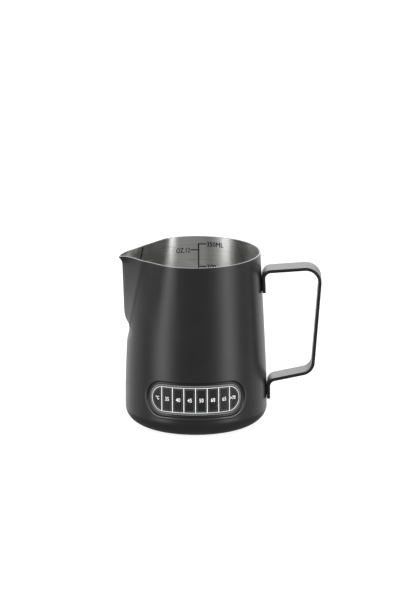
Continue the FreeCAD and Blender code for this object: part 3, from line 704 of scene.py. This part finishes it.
def bead(face, inwards, width, lift, name, mat):
    line = seam_line(face)
    az = [(a, z) for a, z in line] + [(-a, z) for a, z in reversed(line)]
    # rounded turn under the chin
    aa = np.array([q[0] for q in az])
    zz = np.array([q[1] for q in az])
    path = face(aa, zz)
    nrm = normal(aa, zz, 0.12, face) * (-1 if inwards else 1)
    seg = np.linalg.norm(np.diff(path, axis=0), axis=1)
    s = np.concatenate([[0], np.cumsum(seg)])
    m = int(s[-1] / 0.5)
    t = np.linspace(0, s[-1], m)
    path = np.stack([np.interp(t, s, path[:, k]) for k in range(3)], -1)
    nrm = np.stack([np.interp(t, s, nrm[:, k]) for k in range(3)], -1)
    ker = np.array([1, 2, 3, 2, 1]) / 9.0
    for _ in range(2):
        pad = np.pad(path, ((2, 2), (0, 0)), mode="edge")
        path = np.stack([np.convolve(pad[:, k], ker, "valid") for k in range(3)], -1)
    nrm /= np.linalg.norm(nrm, axis=1, keepdims=True)
    tan = np.gradient(path, axis=0)
    tan /= np.linalg.norm(tan, axis=1, keepdims=True)
    side = np.cross(tan, nrm)
    side /= np.linalg.norm(side, axis=1, keepdims=True)
    verts, norms = [], []
    K = 9
    for i in range(m):
        ripple = 1.0 + 0.18 * math.sin(i * 1.9) + 0.1 * math.sin(i * 0.71 + 1.0)
        for k in range(K):
            u = -1 + 2 * k / (K - 1)
            h = lift * ripple * (1 - u * u) - 0.05 * (abs(u) == 1)
            verts.append(path[i] + side[i] * (0.5 * width * u) + nrm[i] * h)
            nn = nrm[i] * 1.0 + side[i] * (u * 4 * lift / width)
            norms.append(nn)
    faces = []
    for i in range(m - 1):
        for k in range(K - 1):
            faces.append((i * K + k, i * K + k + 1, (i + 1) * K + k + 1, (i + 1) * K + k))
    verts, norms = np.array(verts), np.array(norms)
    faces = orient(verts, norms, faces)
    return link(name, verts, faces, [mat], None, norms)


seam = bead(face_in_upright, True, 1.9, 0.07, "spout_weld_bead", M_WELD)
finish_piece(seam, "bare_steel", "spout_weld_seam")


# =========================================================================
# Handle strap
# =========================================================================
T, W = 1.8, 13.8
GAP = 0.03
tab_top = float(cup_radius(73.5)) + GAP + T
bar_top = float(cup_radius(84.4)) + GAP + T
low_x = FOOT_R + GAP
CORNERS = [(tab_top, 73.5), (bar_top, 84.4), (67.05, 86.4), (62.43, 30.0), (low_x, 25.0), (low_x, 14.1)]
BENDS = [3.3, 6.8, 5.8, 4.8]


def strap_path():
    """Points of the finger-side face with their outward normals."""
    pts = []
    P = [Vector((x, z)) for x, z in CORNERS]
    here = P[0]
    for i, r in enumerate(BENDS, start=1):
        a, b, c = P[i - 1], P[i], P[i + 1]
        u, w = (a - b).normalized(), (c - b).normalized()
        half = 0.5 * math.acos(max(-1, min(1, u.dot(w))))
        back = r / math.tan(half)
        p, q = b + u * back, b + w * back
        cen = b + (u + w).normalized() * (r / math.sin(half))
        steps = max(2, int((p - here).length / 0.8))
        d = (p - here).normalized()
        for k in range(steps):
            x = here.lerp(p, k / steps)
            pts.append((x.x, x.y, -d.y, d.x))
        a0 = math.atan2(p.y - cen.y, p.x - cen.x)
        a1 = math.atan2(q.y - cen.y, q.x - cen.x)
        turn = (a1 - a0 + math.pi) % (2 * math.pi) - math.pi
        n = max(10, int(abs(turn) * (r + 2) / 0.35))
        for k in range(n):
            t = a0 + turn * k / n
            x, z = cen.x + r * math.cos(t), cen.y + r * math.sin(t)
            tx, tz = (-math.sin(t), math.cos(t)) if turn > 0 else (math.sin(t), -math.cos(t))
            pts.append((x, z, -tz, tx))
        here = q
    d = (P[-1] - here).normalized()
    steps = max(2, int((P[-1] - here).length / 0.8))
    for k in range(steps + 1):
        x = here.lerp(P[-1], k / steps)
        pts.append((x.x, x.y, -d.y, d.x))
    return pts


def strap_section():
    """Rounded rectangle: (across the width, from finger side outwards) and normals."""
    r = 0.42
    out = []
    corners = [(-W / 2 + r, r, 180, 270), (W / 2 - r, r, 270, 360), (W / 2 - r, T - r, 0, 90), (-W / 2 + r, T - r, 90, 180)]
    for cx, cy, a0, a1 in corners:
        for k in range(7):
            t = math.radians(a0 + (a1 - a0) * k / 6)
            out.append((cx + r * math.cos(t), cy + r * math.sin(t), math.cos(t), math.sin(t)))
    return out


path = strap_path()
sec = strap_section()
hv, hn, hf = [], [], []
K = len(sec)


def strap_loop(x, z, nx, nz, inset=0.0, shift=0.0, tilt=0.0, tdir=(0, 0)):
    for s, h, ns, nh in sec:
        cs = s * (1 - inset / (W / 2)) if inset else s
        ch = T / 2 + (h - T / 2) * (1 - inset / (T / 2)) if inset else h
        hv.append((x + nx * ch + tdir[0] * shift, cs, z + nz * ch + tdir[1] * shift))
        n = Vector((nx * nh, ns, nz * nh))
        if tilt:
            n = n * math.cos(tilt) + Vector((tdir[0], 0, tdir[1])) * math.sin(tilt)
        hn.append(tuple(n))


e = 0.3
x0, z0, nx0, nz0 = path[0]
d0 = (path[1][0] - x0, path[1][1] - z0)
L0 = math.hypot(*d0)
back0 = (-d0[0] / L0, -d0[1] / L0)
loops = 0
for k in range(5):
    t = math.radians(90 - 22.5 * k)
    strap_loop(x0, z0, nx0, nz0, e * (1 - math.cos(t)) + (0.001 if k == 0 else 0), -e * (1 - math.sin(t)), t, back0)
    loops += 1
for x, z, nx, nz in path:
    dx = math.hypot(x - x0, z - z0)
    dl = math.hypot(x - path[-1][0], z - path[-1][1])
    if dx < e + 0.05 or dl < e + 0.05:
        continue
    strap_loop(x, z, nx, nz)
    loops += 1
x1, z1, nx1, nz1 = path[-1]
d1 = (path[-1][0] - path[-2][0], path[-1][1] - path[-2][1])
L1 = math.hypot(*d1)
fwd1 = (d1[0] / L1, d1[1] / L1)
for k in range(5):
    t = math.radians(22.5 * k)
    strap_loop(x1, z1, nx1, nz1, e * (1 - math.cos(t)) + (0.001 if k == 4 else 0), -e * (1 - math.sin(t)), t, fwd1)
    loops += 1
for j in range(loops - 1):
    for i in range(K):
        k = (i + 1) % K
        hf.append((j * K + i, j * K + k, (j + 1) * K + k, (j + 1) * K + i))
hv, hn = np.array(hv), np.array(hn)
hf = orient(hv, hn, hf)
# flat ends as their own small fans
for j, dirn in ((0, back0), (loops - 1, fwd1)):
    base = len(hv)
    ring = hv[j * K:(j + 1) * K]
    nn = np.tile([dirn[0], 0, dirn[1]], (K + 1, 1))
    hv = np.vstack([hv, ring, ring.mean(0, keepdims=True)])
    hn = np.vstack([hn, nn])
    fan = [(base + K, base + i, base + (i + 1) % K) for i in range(K)]
    fan = orient(hv, hn, fan)
    hf += fan
strap = link("handle_strap_coated", hv, hf, [M_HANDLE], None, hn)
finish_piece(strap, "coated_steel", "handle_strap")


# =========================================================================
# Thermometer strip: curved layers, built on arc length and height
# =========================================================================
R_MID = 37.8


def wrap(s, z, r):
    """Arc length s (at 37.8 mm), height z and radius to a point on the front."""
    t = s / R_MID
    return np.stack([r * np.sin(t), -r * np.cos(t), z + 0 * t], -1)


HALF = math.radians(27.2) * R_MID + 0.45


def stadium_loop(h, n_end=28, n_side=60):
    """Closed loop of the round-ended outline at half height h."""
    out = []
    for k in range(n_side):
        out.append((-HALF + 2 * HALF * k / n_side, -h, 0, -1))
    for k in range(n_end):
        t = -math.pi / 2 + math.pi * k / n_end
        out.append((HALF + h * math.cos(t), h * math.sin(t), math.cos(t), math.sin(t)))
    for k in range(n_side):
        out.append((HALF - 2 * HALF * k / n_side, h, 0, 1))
    for k in range(n_end):
        t = math.pi / 2 + math.pi * k / n_end
        out.append((-HALF + h * math.cos(t), h * math.sin(t), math.cos(t), math.sin(t)))
    return np.array(out)


def wrapped_plate(name, half, r_low, r_top, edge, mat, crown=0.0):
    """Round-ended plate on the wall with a rounded top edge."""
    L = stadium_loop(half)
    m = len(L)
    rows, norms = [], []
    th = L[:, 0] / R_MID

    def rad_n(s):
        t = s / R_MID
        return np.stack([np.sin(t), -np.cos(t), 0 * t], -1)

    def side_n(row_s, ds, dz):
        t = row_s / R_MID
        return np.stack([ds * np.cos(t), ds * np.sin(t), dz], -1)
    # outer flank from the back face up to the rounded edge
    s0, z0_, ds, dz = L[:, 0], L[:, 1], L[:, 2], L[:, 3]
    rows.append(wrap(s0, z0_ + REC_Z, r_low)); norms.append(side_n(s0, ds, dz))
    for k in range(7):
        t = math.radians(15 * k)
        ins = edge * (1 - math.cos(t))
        r = r_top - edge + edge * math.sin(t)
        s, z = s0 - ds * ins, z0_ - dz * ins
        rows.append(wrap(s, z + REC_Z, r))
        norms.append(side_n(s, ds, dz) * math.cos(t) + rad_n(s) * math.sin(t))
    for f in (0.97, 0.9, 0.8, 0.6, 0.4, 0.2, 0.02):
        hh = half * f
        q = stadium_loop(max(hh, 0.02))
        c = crown * (1 - f * f)
        rows.append(wrap(q[:, 0], q[:, 1] + REC_Z, r_top + c))
        gz = crown * 2 * f / half
        norms.append(rad_n(q[:, 0]) + side_n(q[:, 0], q[:, 2] * gz, q[:, 3] * gz))
    v = np.concatenate(rows)
    n = np.concatenate(norms)
    faces = []
    for j in range(len(rows) - 1):
        for i in range(m):
            k = (i + 1) % m
            faces.append((j * m + i, j * m + k, (j + 1) * m + k, (j + 1) * m + i))
    # close the thin middle slit
    j = (len(rows) - 1) * m
    ns, ne = 60, 28
    for k in range(ns):
        a, b = j + k, j + k + 1
        c_, d_ = j + ns + ne + (ns - k), j + ns + ne + (ns - k - 1)
        faces.append((a, b, d_, c_ if c_ < j + m else j))
    faces.append(tuple(j + ns + q for q in range(ne + 1)))
    faces.append(tuple(j + (2 * ns + ne + q) % m for q in range(ne + 1)))
    # back face
    c0 = len(v)
    mid = []
    for i in range(m):
        mid.append(wrap(np.array([np.clip(L[i, 0], -HALF, HALF)]), np.array([REC_Z]), r_low)[0])
    v = np.vstack([v, rows[0], np.array(mid)])
    back = -rad_n(L[:, 0])
    n = np.vstack([n, back, -rad_n(np.clip(L[:, 0], -HALF, HALF))])
    for i in range(m):
        k = (i + 1) % m
        faces.append((c0 + i, c0 + k, c0 + m + k, c0 + m + i))
    faces = [f for f in faces if len(set(f)) > 2]
    faces = orient(v, n, faces)
    return link(name, v, faces, [mat], None, n)


R0 = 37.3
carrier = wrapped_plate("strip_carrier_body", 8.2, R0 + 0.15, R0 + 0.40, 0.12, M_CARRIER)
finish_piece(carrier, "strip_carrier", "strip_carrier_film")
pad = wrapped_plate("strip_foam_pad", 7.9, R0, R0 + 0.15, 0.03, M_PAD)
finish_piece(pad, "adhesive", "strip_adhesive_pad")

R_FACE = R0 + 0.40
CELL_PITCH = math.radians(9.63) * R_MID
LINE = 0.44
EDGE = 0.29


def denser(pts, closed=True):
    """Outline with extra points on its long straight runs."""
    out = []
    m = len(pts)
    for i in range(m if closed else m - 1):
        a, b = pts[i], pts[(i + 1) % m]
        n = 10 if math.hypot(b[0] - a[0], b[1] - a[1]) > 2.0 else 1
        for j in range(n):
            out.append((a[0] + (b[0] - a[0]) * j / n, a[1] + (b[1] - a[1]) * j / n))
    return out


def ribbon(name, loops, mat, r, thick=0.05, closed=True):
    """Thin raised strip between an outer and an inner outline: print lines, cell borders and the painted edge
    highlight.
    """
    verts, norms, faces = [], [], []
    for outer, inner in loops:
        m = len(outer)
        base = len(verts)
        for P, rr_, nn in ((outer, r, "s"), (outer, r + thick, "t"), (inner, r + thick, "t"), (inner, r, "s")):
            for s, z in P:
                t = s / R_MID
                verts.append((rr_ * math.sin(t), -rr_ * math.cos(t), z + REC_Z))
                norms.append((math.sin(t), -math.cos(t), 0))
        for j in range(3):
            rng = range(m if closed else m - 1)
            for i in rng:
                k = (i + 1) % m
                faces.append((base + j * m + i, base + j * m + k, base + (j + 1) * m + k, base + (j + 1) * m + i))
    verts, norms = np.array(verts), np.array(norms)
    f2 = []
    for q in faces:
        f2.append(q)
    ob = link(name, verts, f2, [mat], None, None, smooth=False)
    bm = bmesh.new(); bm.from_mesh(ob.data)
    bmesh.ops.recalc_face_normals(bm, faces=bm.faces)
    bm.to_mesh(ob.data); bm.free()
    return ob


def grid_print():
    loops = []
    a = stadium_loop(7.0)[:, :2]
    b = stadium_loop(7.0 - EDGE)[:, :2]
    loops.append((a, b))
    hh = 7.0 - EDGE + 0.02
    for k in range(-3, 4):
        s = k * CELL_PITCH
        n = 12
        zs = [-hh + 2 * hh * i / n for i in range(n + 1)]
        outer = [(s - LINE / 2, z) for z in zs] + [(s + LINE / 2, z) for z in reversed(zs)]
        inner = [(s - 0.001, z) for z in zs] + [(s + 0.001, z) for z in reversed(zs)]
        loops.append((outer, inner))
    return loops


# light grey ring just inside the carrier's edge: a painted highlight for the light its edge catches
painted_edge_ring = ribbon("strip_painted_edge_highlight", [(stadium_loop(8.06)[:, :2], stadium_loop(7.78)[:, :2])], M_PAINTED_EDGE_HIGHLIGHT, R_FACE - 0.004, 0.02)
finish_piece(painted_edge_ring, "strip_print")
grid = ribbon("strip_print_lines", grid_print(), M_PRINT, R_FACE, 0.10)
finish_piece(grid, "strip_print", "strip_printed_grid")


def cell_outline(k, inset):
    """Outline of a window between the white lines, moved in by inset."""
    h = 7.0 - EDGE - inset
    lo = (k - 4) * CELL_PITCH + LINE / 2 + inset
    hi = (k - 3) * CELL_PITCH - LINE / 2 - inset
    pts = []
    rc = max(0.05, 0.35 - inset * 0.3)
    if 0 < k < 7:
        for cx, cz, a0 in ((hi - rc, -h + rc, -90), (hi - rc, h - rc, 0), (lo + rc, h - rc, 90), (lo + rc, -h + rc, 180)):
            for j in range(7):
                t = math.radians(a0 + 15 * j)
                pts.append((cx + rc * math.cos(t), cz + rc * math.sin(t)))
    elif k == 7:
        lo = 3 * CELL_PITCH + LINE / 2 + inset
        base = lo - HALF
        a_max = math.acos(min(1, base / h))
        for j in range(33):
            t = -a_max + 2 * a_max * j / 32
            pts.append((HALF + h * math.cos(t), h * math.sin(t)))
        top = pts[-1][1]
        for j in range(1, 12):
            pts.append((lo, top - 2 * top * j / 12))
    else:
        pts = [(-s, z) for s, z in reversed(cell_outline(7, inset))]
    return pts


def poly_plate(name, pts, r, thick, mat, step=1.0):
    """Filled outline on the wall: fan of concentric copies, bevelled rim."""
    P = np.array(pts)
    c = P.mean(0)
    m = len(P)
    rows = [(P, r), (P, r + thick - 0.02), (c + (P - c) * 0.985, r + thick)]
    for f in (0.75, 0.5, 0.25):
        rows.append((c + (P - c) * f, r + thick))
    v, n = [], []
    for Q, rr_ in rows:
        for s, z in Q:
            t = s / R_MID
            v.append((rr_ * math.sin(t), -rr_ * math.cos(t), z + REC_Z))
            n.append((math.sin(t), -math.cos(t), 0))
    t = c[0] / R_MID
    v.append(((r + thick) * math.sin(t), -(r + thick) * math.cos(t), c[1] + REC_Z))
    n.append((math.sin(t), -math.cos(t), 0))
    faces = []
    for j in range(len(rows) - 1):
        for i in range(m):
            k = (i + 1) % m
            faces.append((j * m + i, j * m + k, (j + 1) * m + k, (j + 1) * m + i))
    j = (len(rows) - 1) * m
    for i in range(m):
        faces.append((j + i, j + (i + 1) % m, len(v) - 1))
    v, n = np.array(v), np.array(n)
    faces = orient(v, n, faces)
    return link(name, v, faces, [mat], None, n)


CELLS = ["strip_cell_unit", "strip_cell_35", "strip_cell_40", "strip_cell_45",
         "strip_cell_50", "strip_cell_60", "strip_cell_65", "strip_cell_over_70"]
for k, name in enumerate(CELLS):
    ob = poly_plate(name + "_patch", denser(cell_outline(k, 0.0)), R_FACE, 0.06, M_CELL)
    finish_piece(ob, "strip_cells", name)
    a = denser(cell_outline(k, 0.62))
    b = denser(cell_outline(k, 0.86))
    assert len(a) == len(b)
    bd = ribbon(name + "_border", [(a, b)], M_CELL_LINE, R_FACE + 0.055, 0.02)
    finish_piece(bd, "strip_cells")


# ------------------------------------------------------------------ lettering
def text_mesh(body, size, bold=0.0, spacing=1.0, squeeze=1.0):
    """Flat outline text as points and faces in millimetres, centred on its box."""
    cu = bpy.data.curves.new("t", "FONT")
    cu.body = body
    cu.size = size
    cu.space_character = spacing
    cu.offset = bold
    cu.resolution_u = 6
    cu.fill_mode = "FRONT"
    ob = bpy.data.objects.new("t", cu)
    bpy.context.scene.collection.objects.link(ob)
    bpy.context.view_layer.update()
    me = bpy.data.meshes.new_from_object(ob)
    v = np.array([tuple(x.co) for x in me.vertices])
    f = [tuple(p.vertices) for p in me.polygons]
    bpy.data.objects.remove(ob)
    bpy.data.curves.remove(cu)
    bpy.data.meshes.remove(me)
    lo, hi = v[:, :2].min(0), v[:, :2].max(0)
    v = v[:, :2] - (lo + hi) / 2
    v[:, 0] *= squeeze
    return v, f


def wrap_text(name, v, f, place, mat):
    """Bend flat text on to a surface: place maps (x, y) to a point."""
    P = place(v[:, 0], v[:, 1], 0.0)
    return link(name, P, f, [mat], None, None, smooth=False)


def on_strip(s0, z0_, r):
    def place(x, y, _):
        t = (s0 + x) / R_MID
        return np.stack([r * np.sin(t), -r * np.cos(t), REC_Z + z0_ + y], -1)
    return place


LABELS = ["°C", "35", "40", "45", "50", "60", "65", ">70"]
for k, lab in enumerate(LABELS):
    size = 3.0 if k not in (0, 7) else 2.6
    v, f = text_mesh(lab, size, 0.035 if 0 < k < 7 else 0.05, 1.06, 0.78)
    s = (k - 3.5) * CELL_PITCH
    if k == 0:
        s = -HALF - 3.4
    if k == 7:
        s = HALF + 2.8
    dz = 0.15 + 0.012 * (k - 3.5) ** 2
    # digits: a flat front face raised above the strip
    place_hi = on_strip(s, dz, R_FACE + 0.095)
    place_lo = on_strip(s, dz, R_FACE + 0.05)
    hi = place_hi(v[:, 0], v[:, 1], 0)
    ob = link("strip_digit_%d" % k, hi, f, [M_DIGIT], None, None, smooth=False)
    finish_piece(ob, "strip_print")

cover = wrapped_plate("strip_cover_lens", 7.25, R_FACE + 0.115, R_FACE + 0.30, 0.16, M_CLEAR, 0.06)
finish_piece(cover, "strip_cover", "strip_clear_cover")

# =========================================================================
# Graduations etched on the back of the inner wall
# =========================================================================


def inner_wall_point(x, z, lift):
    """Point on the inner wall behind the axis, x across from the middle."""
    x, z = np.asarray(x, float), np.asarray(z, float)
    ang = 90.0 + np.degrees(x / 34.6)
    p = face_in_upright(ang, z)
    a = np.radians(ang)
    return (p - np.stack([-np.cos(a), np.sin(a), 0 * a], -1) * lift)


def etched_bar(x0_, x1_, z0_, z1_):
    """Strip of the wall between two arc positions and two heights."""
    nx = max(2, int(abs(x1_ - x0_) / 0.4) + 1)
    nz = max(2, int(abs(z1_ - z0_) / 1.5) + 1)
    xs, zs = np.linspace(x0_, x1_, nx), np.linspace(z0_, z1_, nz)
    return xs, zs


marks_v, marks_f = [], []


def add_bar(x0_, x1_, z0_, z1_):
    xs, zs = etched_bar(x0_, x1_, z0_, z1_)
    base = len(marks_v)
    for z in zs:
        for x in xs:
            marks_v.append((x, z))
    nx = len(xs)
    for j in range(len(zs) - 1):
        for i in range(nx - 1):
            marks_f.append((base + j * nx + i, base + (j + 1) * nx + i, base + (j + 1) * nx + i + 1, base + j * nx + i + 1))


def add_text(body, size, left=None, right=None, z=0.0, squeeze=0.86):
    v, f = text_mesh(body, size, 0.0, 1.05, squeeze)
    w = v[:, 0].max() - v[:, 0].min()
    xc = left + w / 2 if left is not None else right - w / 2
    # three passes side by side make the stroke as heavy as the etched one
    for dx, dy in ((-0.10, -0.05), (0.0, 0.05), (0.10, -0.05)):
        base = len(marks_v)
        for x, y in v:
            marks_v.append((xc + x + dx, z + y + dy))
        for q in f:
            marks_f.append(tuple(base + i for i in q))


LINE_X = 1.3
ML = [(350, 90.6), (300, 77.6), (250, 64.6), (200, 51.8), (150, 39.5), (100, 27.6)]
OZ = [(12, 87.2), (10, 72.7), (8, 58.0), (6, 44.0), (4, 30.6)]
add_bar(LINE_X - 0.36, LINE_X + 0.36, 27.6 - 0.3, 90.6 + 0.3)
for ml, z in ML:
    add_bar(LINE_X + 0.36, LINE_X + 4.3, z - 0.32, z + 0.32)
    add_text("%dML" % ml if ml == 350 else "%d" % ml, 3.9, left=LINE_X + 4.6, z=z - 0.1)
for oz, z in OZ:
    add_bar(LINE_X - 4.3, LINE_X - 0.36, z - 0.32, z + 0.32)
    add_text("OZ.%d" % oz if oz == 12 else "%d" % oz, 3.9, right=LINE_X - 4.7, z=z - 0.1, squeeze=0.72)
marks_v = np.array(marks_v)
marks = link("graduation_marks", inner_wall_point(marks_v[:, 0], marks_v[:, 1], 0.012), marks_f, [M_ETCH], None, None, smooth=False)
finish_piece(marks, "bare_steel")

# hidden nuggets keep their CAD mesh
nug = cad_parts["handle_spot_welds"]
nug.data.materials.clear()
nug.data.materials.append(M_NUGGET)

# =========================================================================
# Floor, light, camera
# =========================================================================
fm, nt, b = new_mat("floor_pale")
b.inputs["Base Color"].default_value = (0.30, 0.30, 0.30, 1.0)
b.inputs["Roughness"].default_value = 1.0
b.inputs["Specular IOR Level"].default_value = 0.0
b.inputs["Emission Color"].default_value = (1.0, 1.0, 1.0, 1.0)
b.inputs["Emission Strength"].default_value = 0.86
me = bpy.data.meshes.new("floor")
S = 14.0
me.from_pydata([(-S, -S, 0), (S, -S, 0), (S, S, 0), (-S, S, 0)], [], [(0, 1, 2, 3)])
me.materials.append(fm)
floor = bpy.data.objects.new("floor", me)
bpy.context.scene.collection.objects.link(floor)
floor.visible_glossy = False

# soft studio: two tall soft boxes in front at the sides, a white sweep behind,
# dim behind the viewer; written as brightness by direction
world = bpy.data.worlds.new("studio")
bpy.context.scene.world = world
world.use_nodes = True
wt = world.node_tree
bg = wt.nodes["Background"]
tc = node(wt, "ShaderNodeTexCoord")
sep = node(wt, "ShaderNodeSeparateXYZ")
wt.links.new(tc.outputs["Generated"], sep.inputs[0])
az = math_node(wt, "ARCTAN2", sep.outputs[0], math_node(wt, "MULTIPLY", sep.outputs[1], -1.0))
side = math_node(wt, "DIVIDE", math_node(wt, "ABSOLUTE", az), math.pi)
LMAX = 12.0


def by_azimuth(stops):
    """Brightness round the horizon, the same on both sides of the viewer."""
    rp = node(wt, "ShaderNodeValToRGB")
    rp.color_ramp.interpolation = "EASE"
    el_ = rp.color_ramp.elements
    while len(el_) < len(stops):
        el_.new(0.5)
    for i_, (a_, l_) in enumerate(stops):
        el_[i_].position = a_ / 180.0
        el_[i_].color = (l_ / LMAX, l_ / LMAX, l_ / LMAX, 1.0)
    wt.links.new(side, rp.inputs[0])
    return math_node(wt, "MULTIPLY", rp.outputs[0], LMAX)


below = by_azimuth([(0.0, 0.10), (30.0, 0.12), (44.0, 1.2), (52.0, 4.1), (61.0, 4.1), (69.5, 1.5),
                    (80.0, 0.24), (92.0, 0.36), (106.0, 0.8), (120.0, 0.9), (140.0, 1.2), (180.0, 1.25)])
above = by_azimuth([(0.0, 1.0), (30.0, 1.0), (44.0, 2.1), (51.0, 9.5), (60.0, 9.5), (68.0, 1.4),
                    (80.0, 0.02), (92.0, 0.02), (106.0, 0.1), (120.0, 0.6), (140.0, 2.3), (180.0, 2.7)])
up_mix = maprange(wt, sep.outputs[2], 0.02, 0.24, 0.0, 1.0, True)
ring_l = math_node(wt, "ADD", math_node(wt, "MULTIPLY", above, up_mix),
                   math_node(wt, "MULTIPLY", below, math_node(wt, "SUBTRACT", 1.0, up_mix)))
low = maprange(wt, sep.outputs[2], -0.50, -0.20, 0.0, 1.0, True)
high = maprange(wt, sep.outputs[2], 0.66, 0.94, 1.0, 0.0, True)
keep = math_node(wt, "MULTIPLY", low, high)
rest_l = maprange(wt, sep.outputs[2], -0.5, 0.5, 0.16, 0.26)
total = math_node(wt, "ADD", math_node(wt, "MULTIPLY", ring_l, keep),
                  math_node(wt, "MULTIPLY", rest_l, math_node(wt, "SUBTRACT", 1.0, keep)))
wt.links.new(total, bg.inputs["Strength"])
bg.inputs["Color"].default_value = (1.0, 1.0, 1.0, 1.0)

# camera: long lens, 15 degrees above, looking along +Y
cam_d = bpy.data.cameras.new("camera")
cam = bpy.data.objects.new("camera", cam_d)
bpy.context.scene.collection.objects.link(cam)
DIST, ELEV, K, CX, CY, ROLL = 3000.0, 14.968, 1.8426, 200.08, 300.40, -0.226
el = math.radians(ELEV)
look = Vector((2.6, 0.0, 67.5))
up = Vector((0, math.sin(el), math.cos(el)))
look = look - Vector((1, 0, 0)) * ((CX - 200.0) / K) + up * ((CY - 300.0) / K)
AZ = math.radians(0.5)
pos = look + Vector((math.sin(AZ) * math.cos(el), -math.cos(AZ) * math.cos(el), math.sin(el))) * DIST
q = (look - pos).to_track_quat("-Z", "Y") @ Quaternion((0, 0, 1), math.radians(ROLL))
cam.rotation_mode = "QUATERNION"
cam.rotation_quaternion = q
cam.location = pos * MM
cam_d.sensor_fit = "VERTICAL"
cam_d.sensor_height = 36.0
cam_d.lens = K * DIST * 36.0 / 601.0
cam_d.clip_start = 0.1
cam_d.clip_end = 50.0
bpy.context.scene.camera = cam

bpy.context.scene.view_settings.view_transform = "Standard"
bpy.context.scene.view_settings.look = "None"
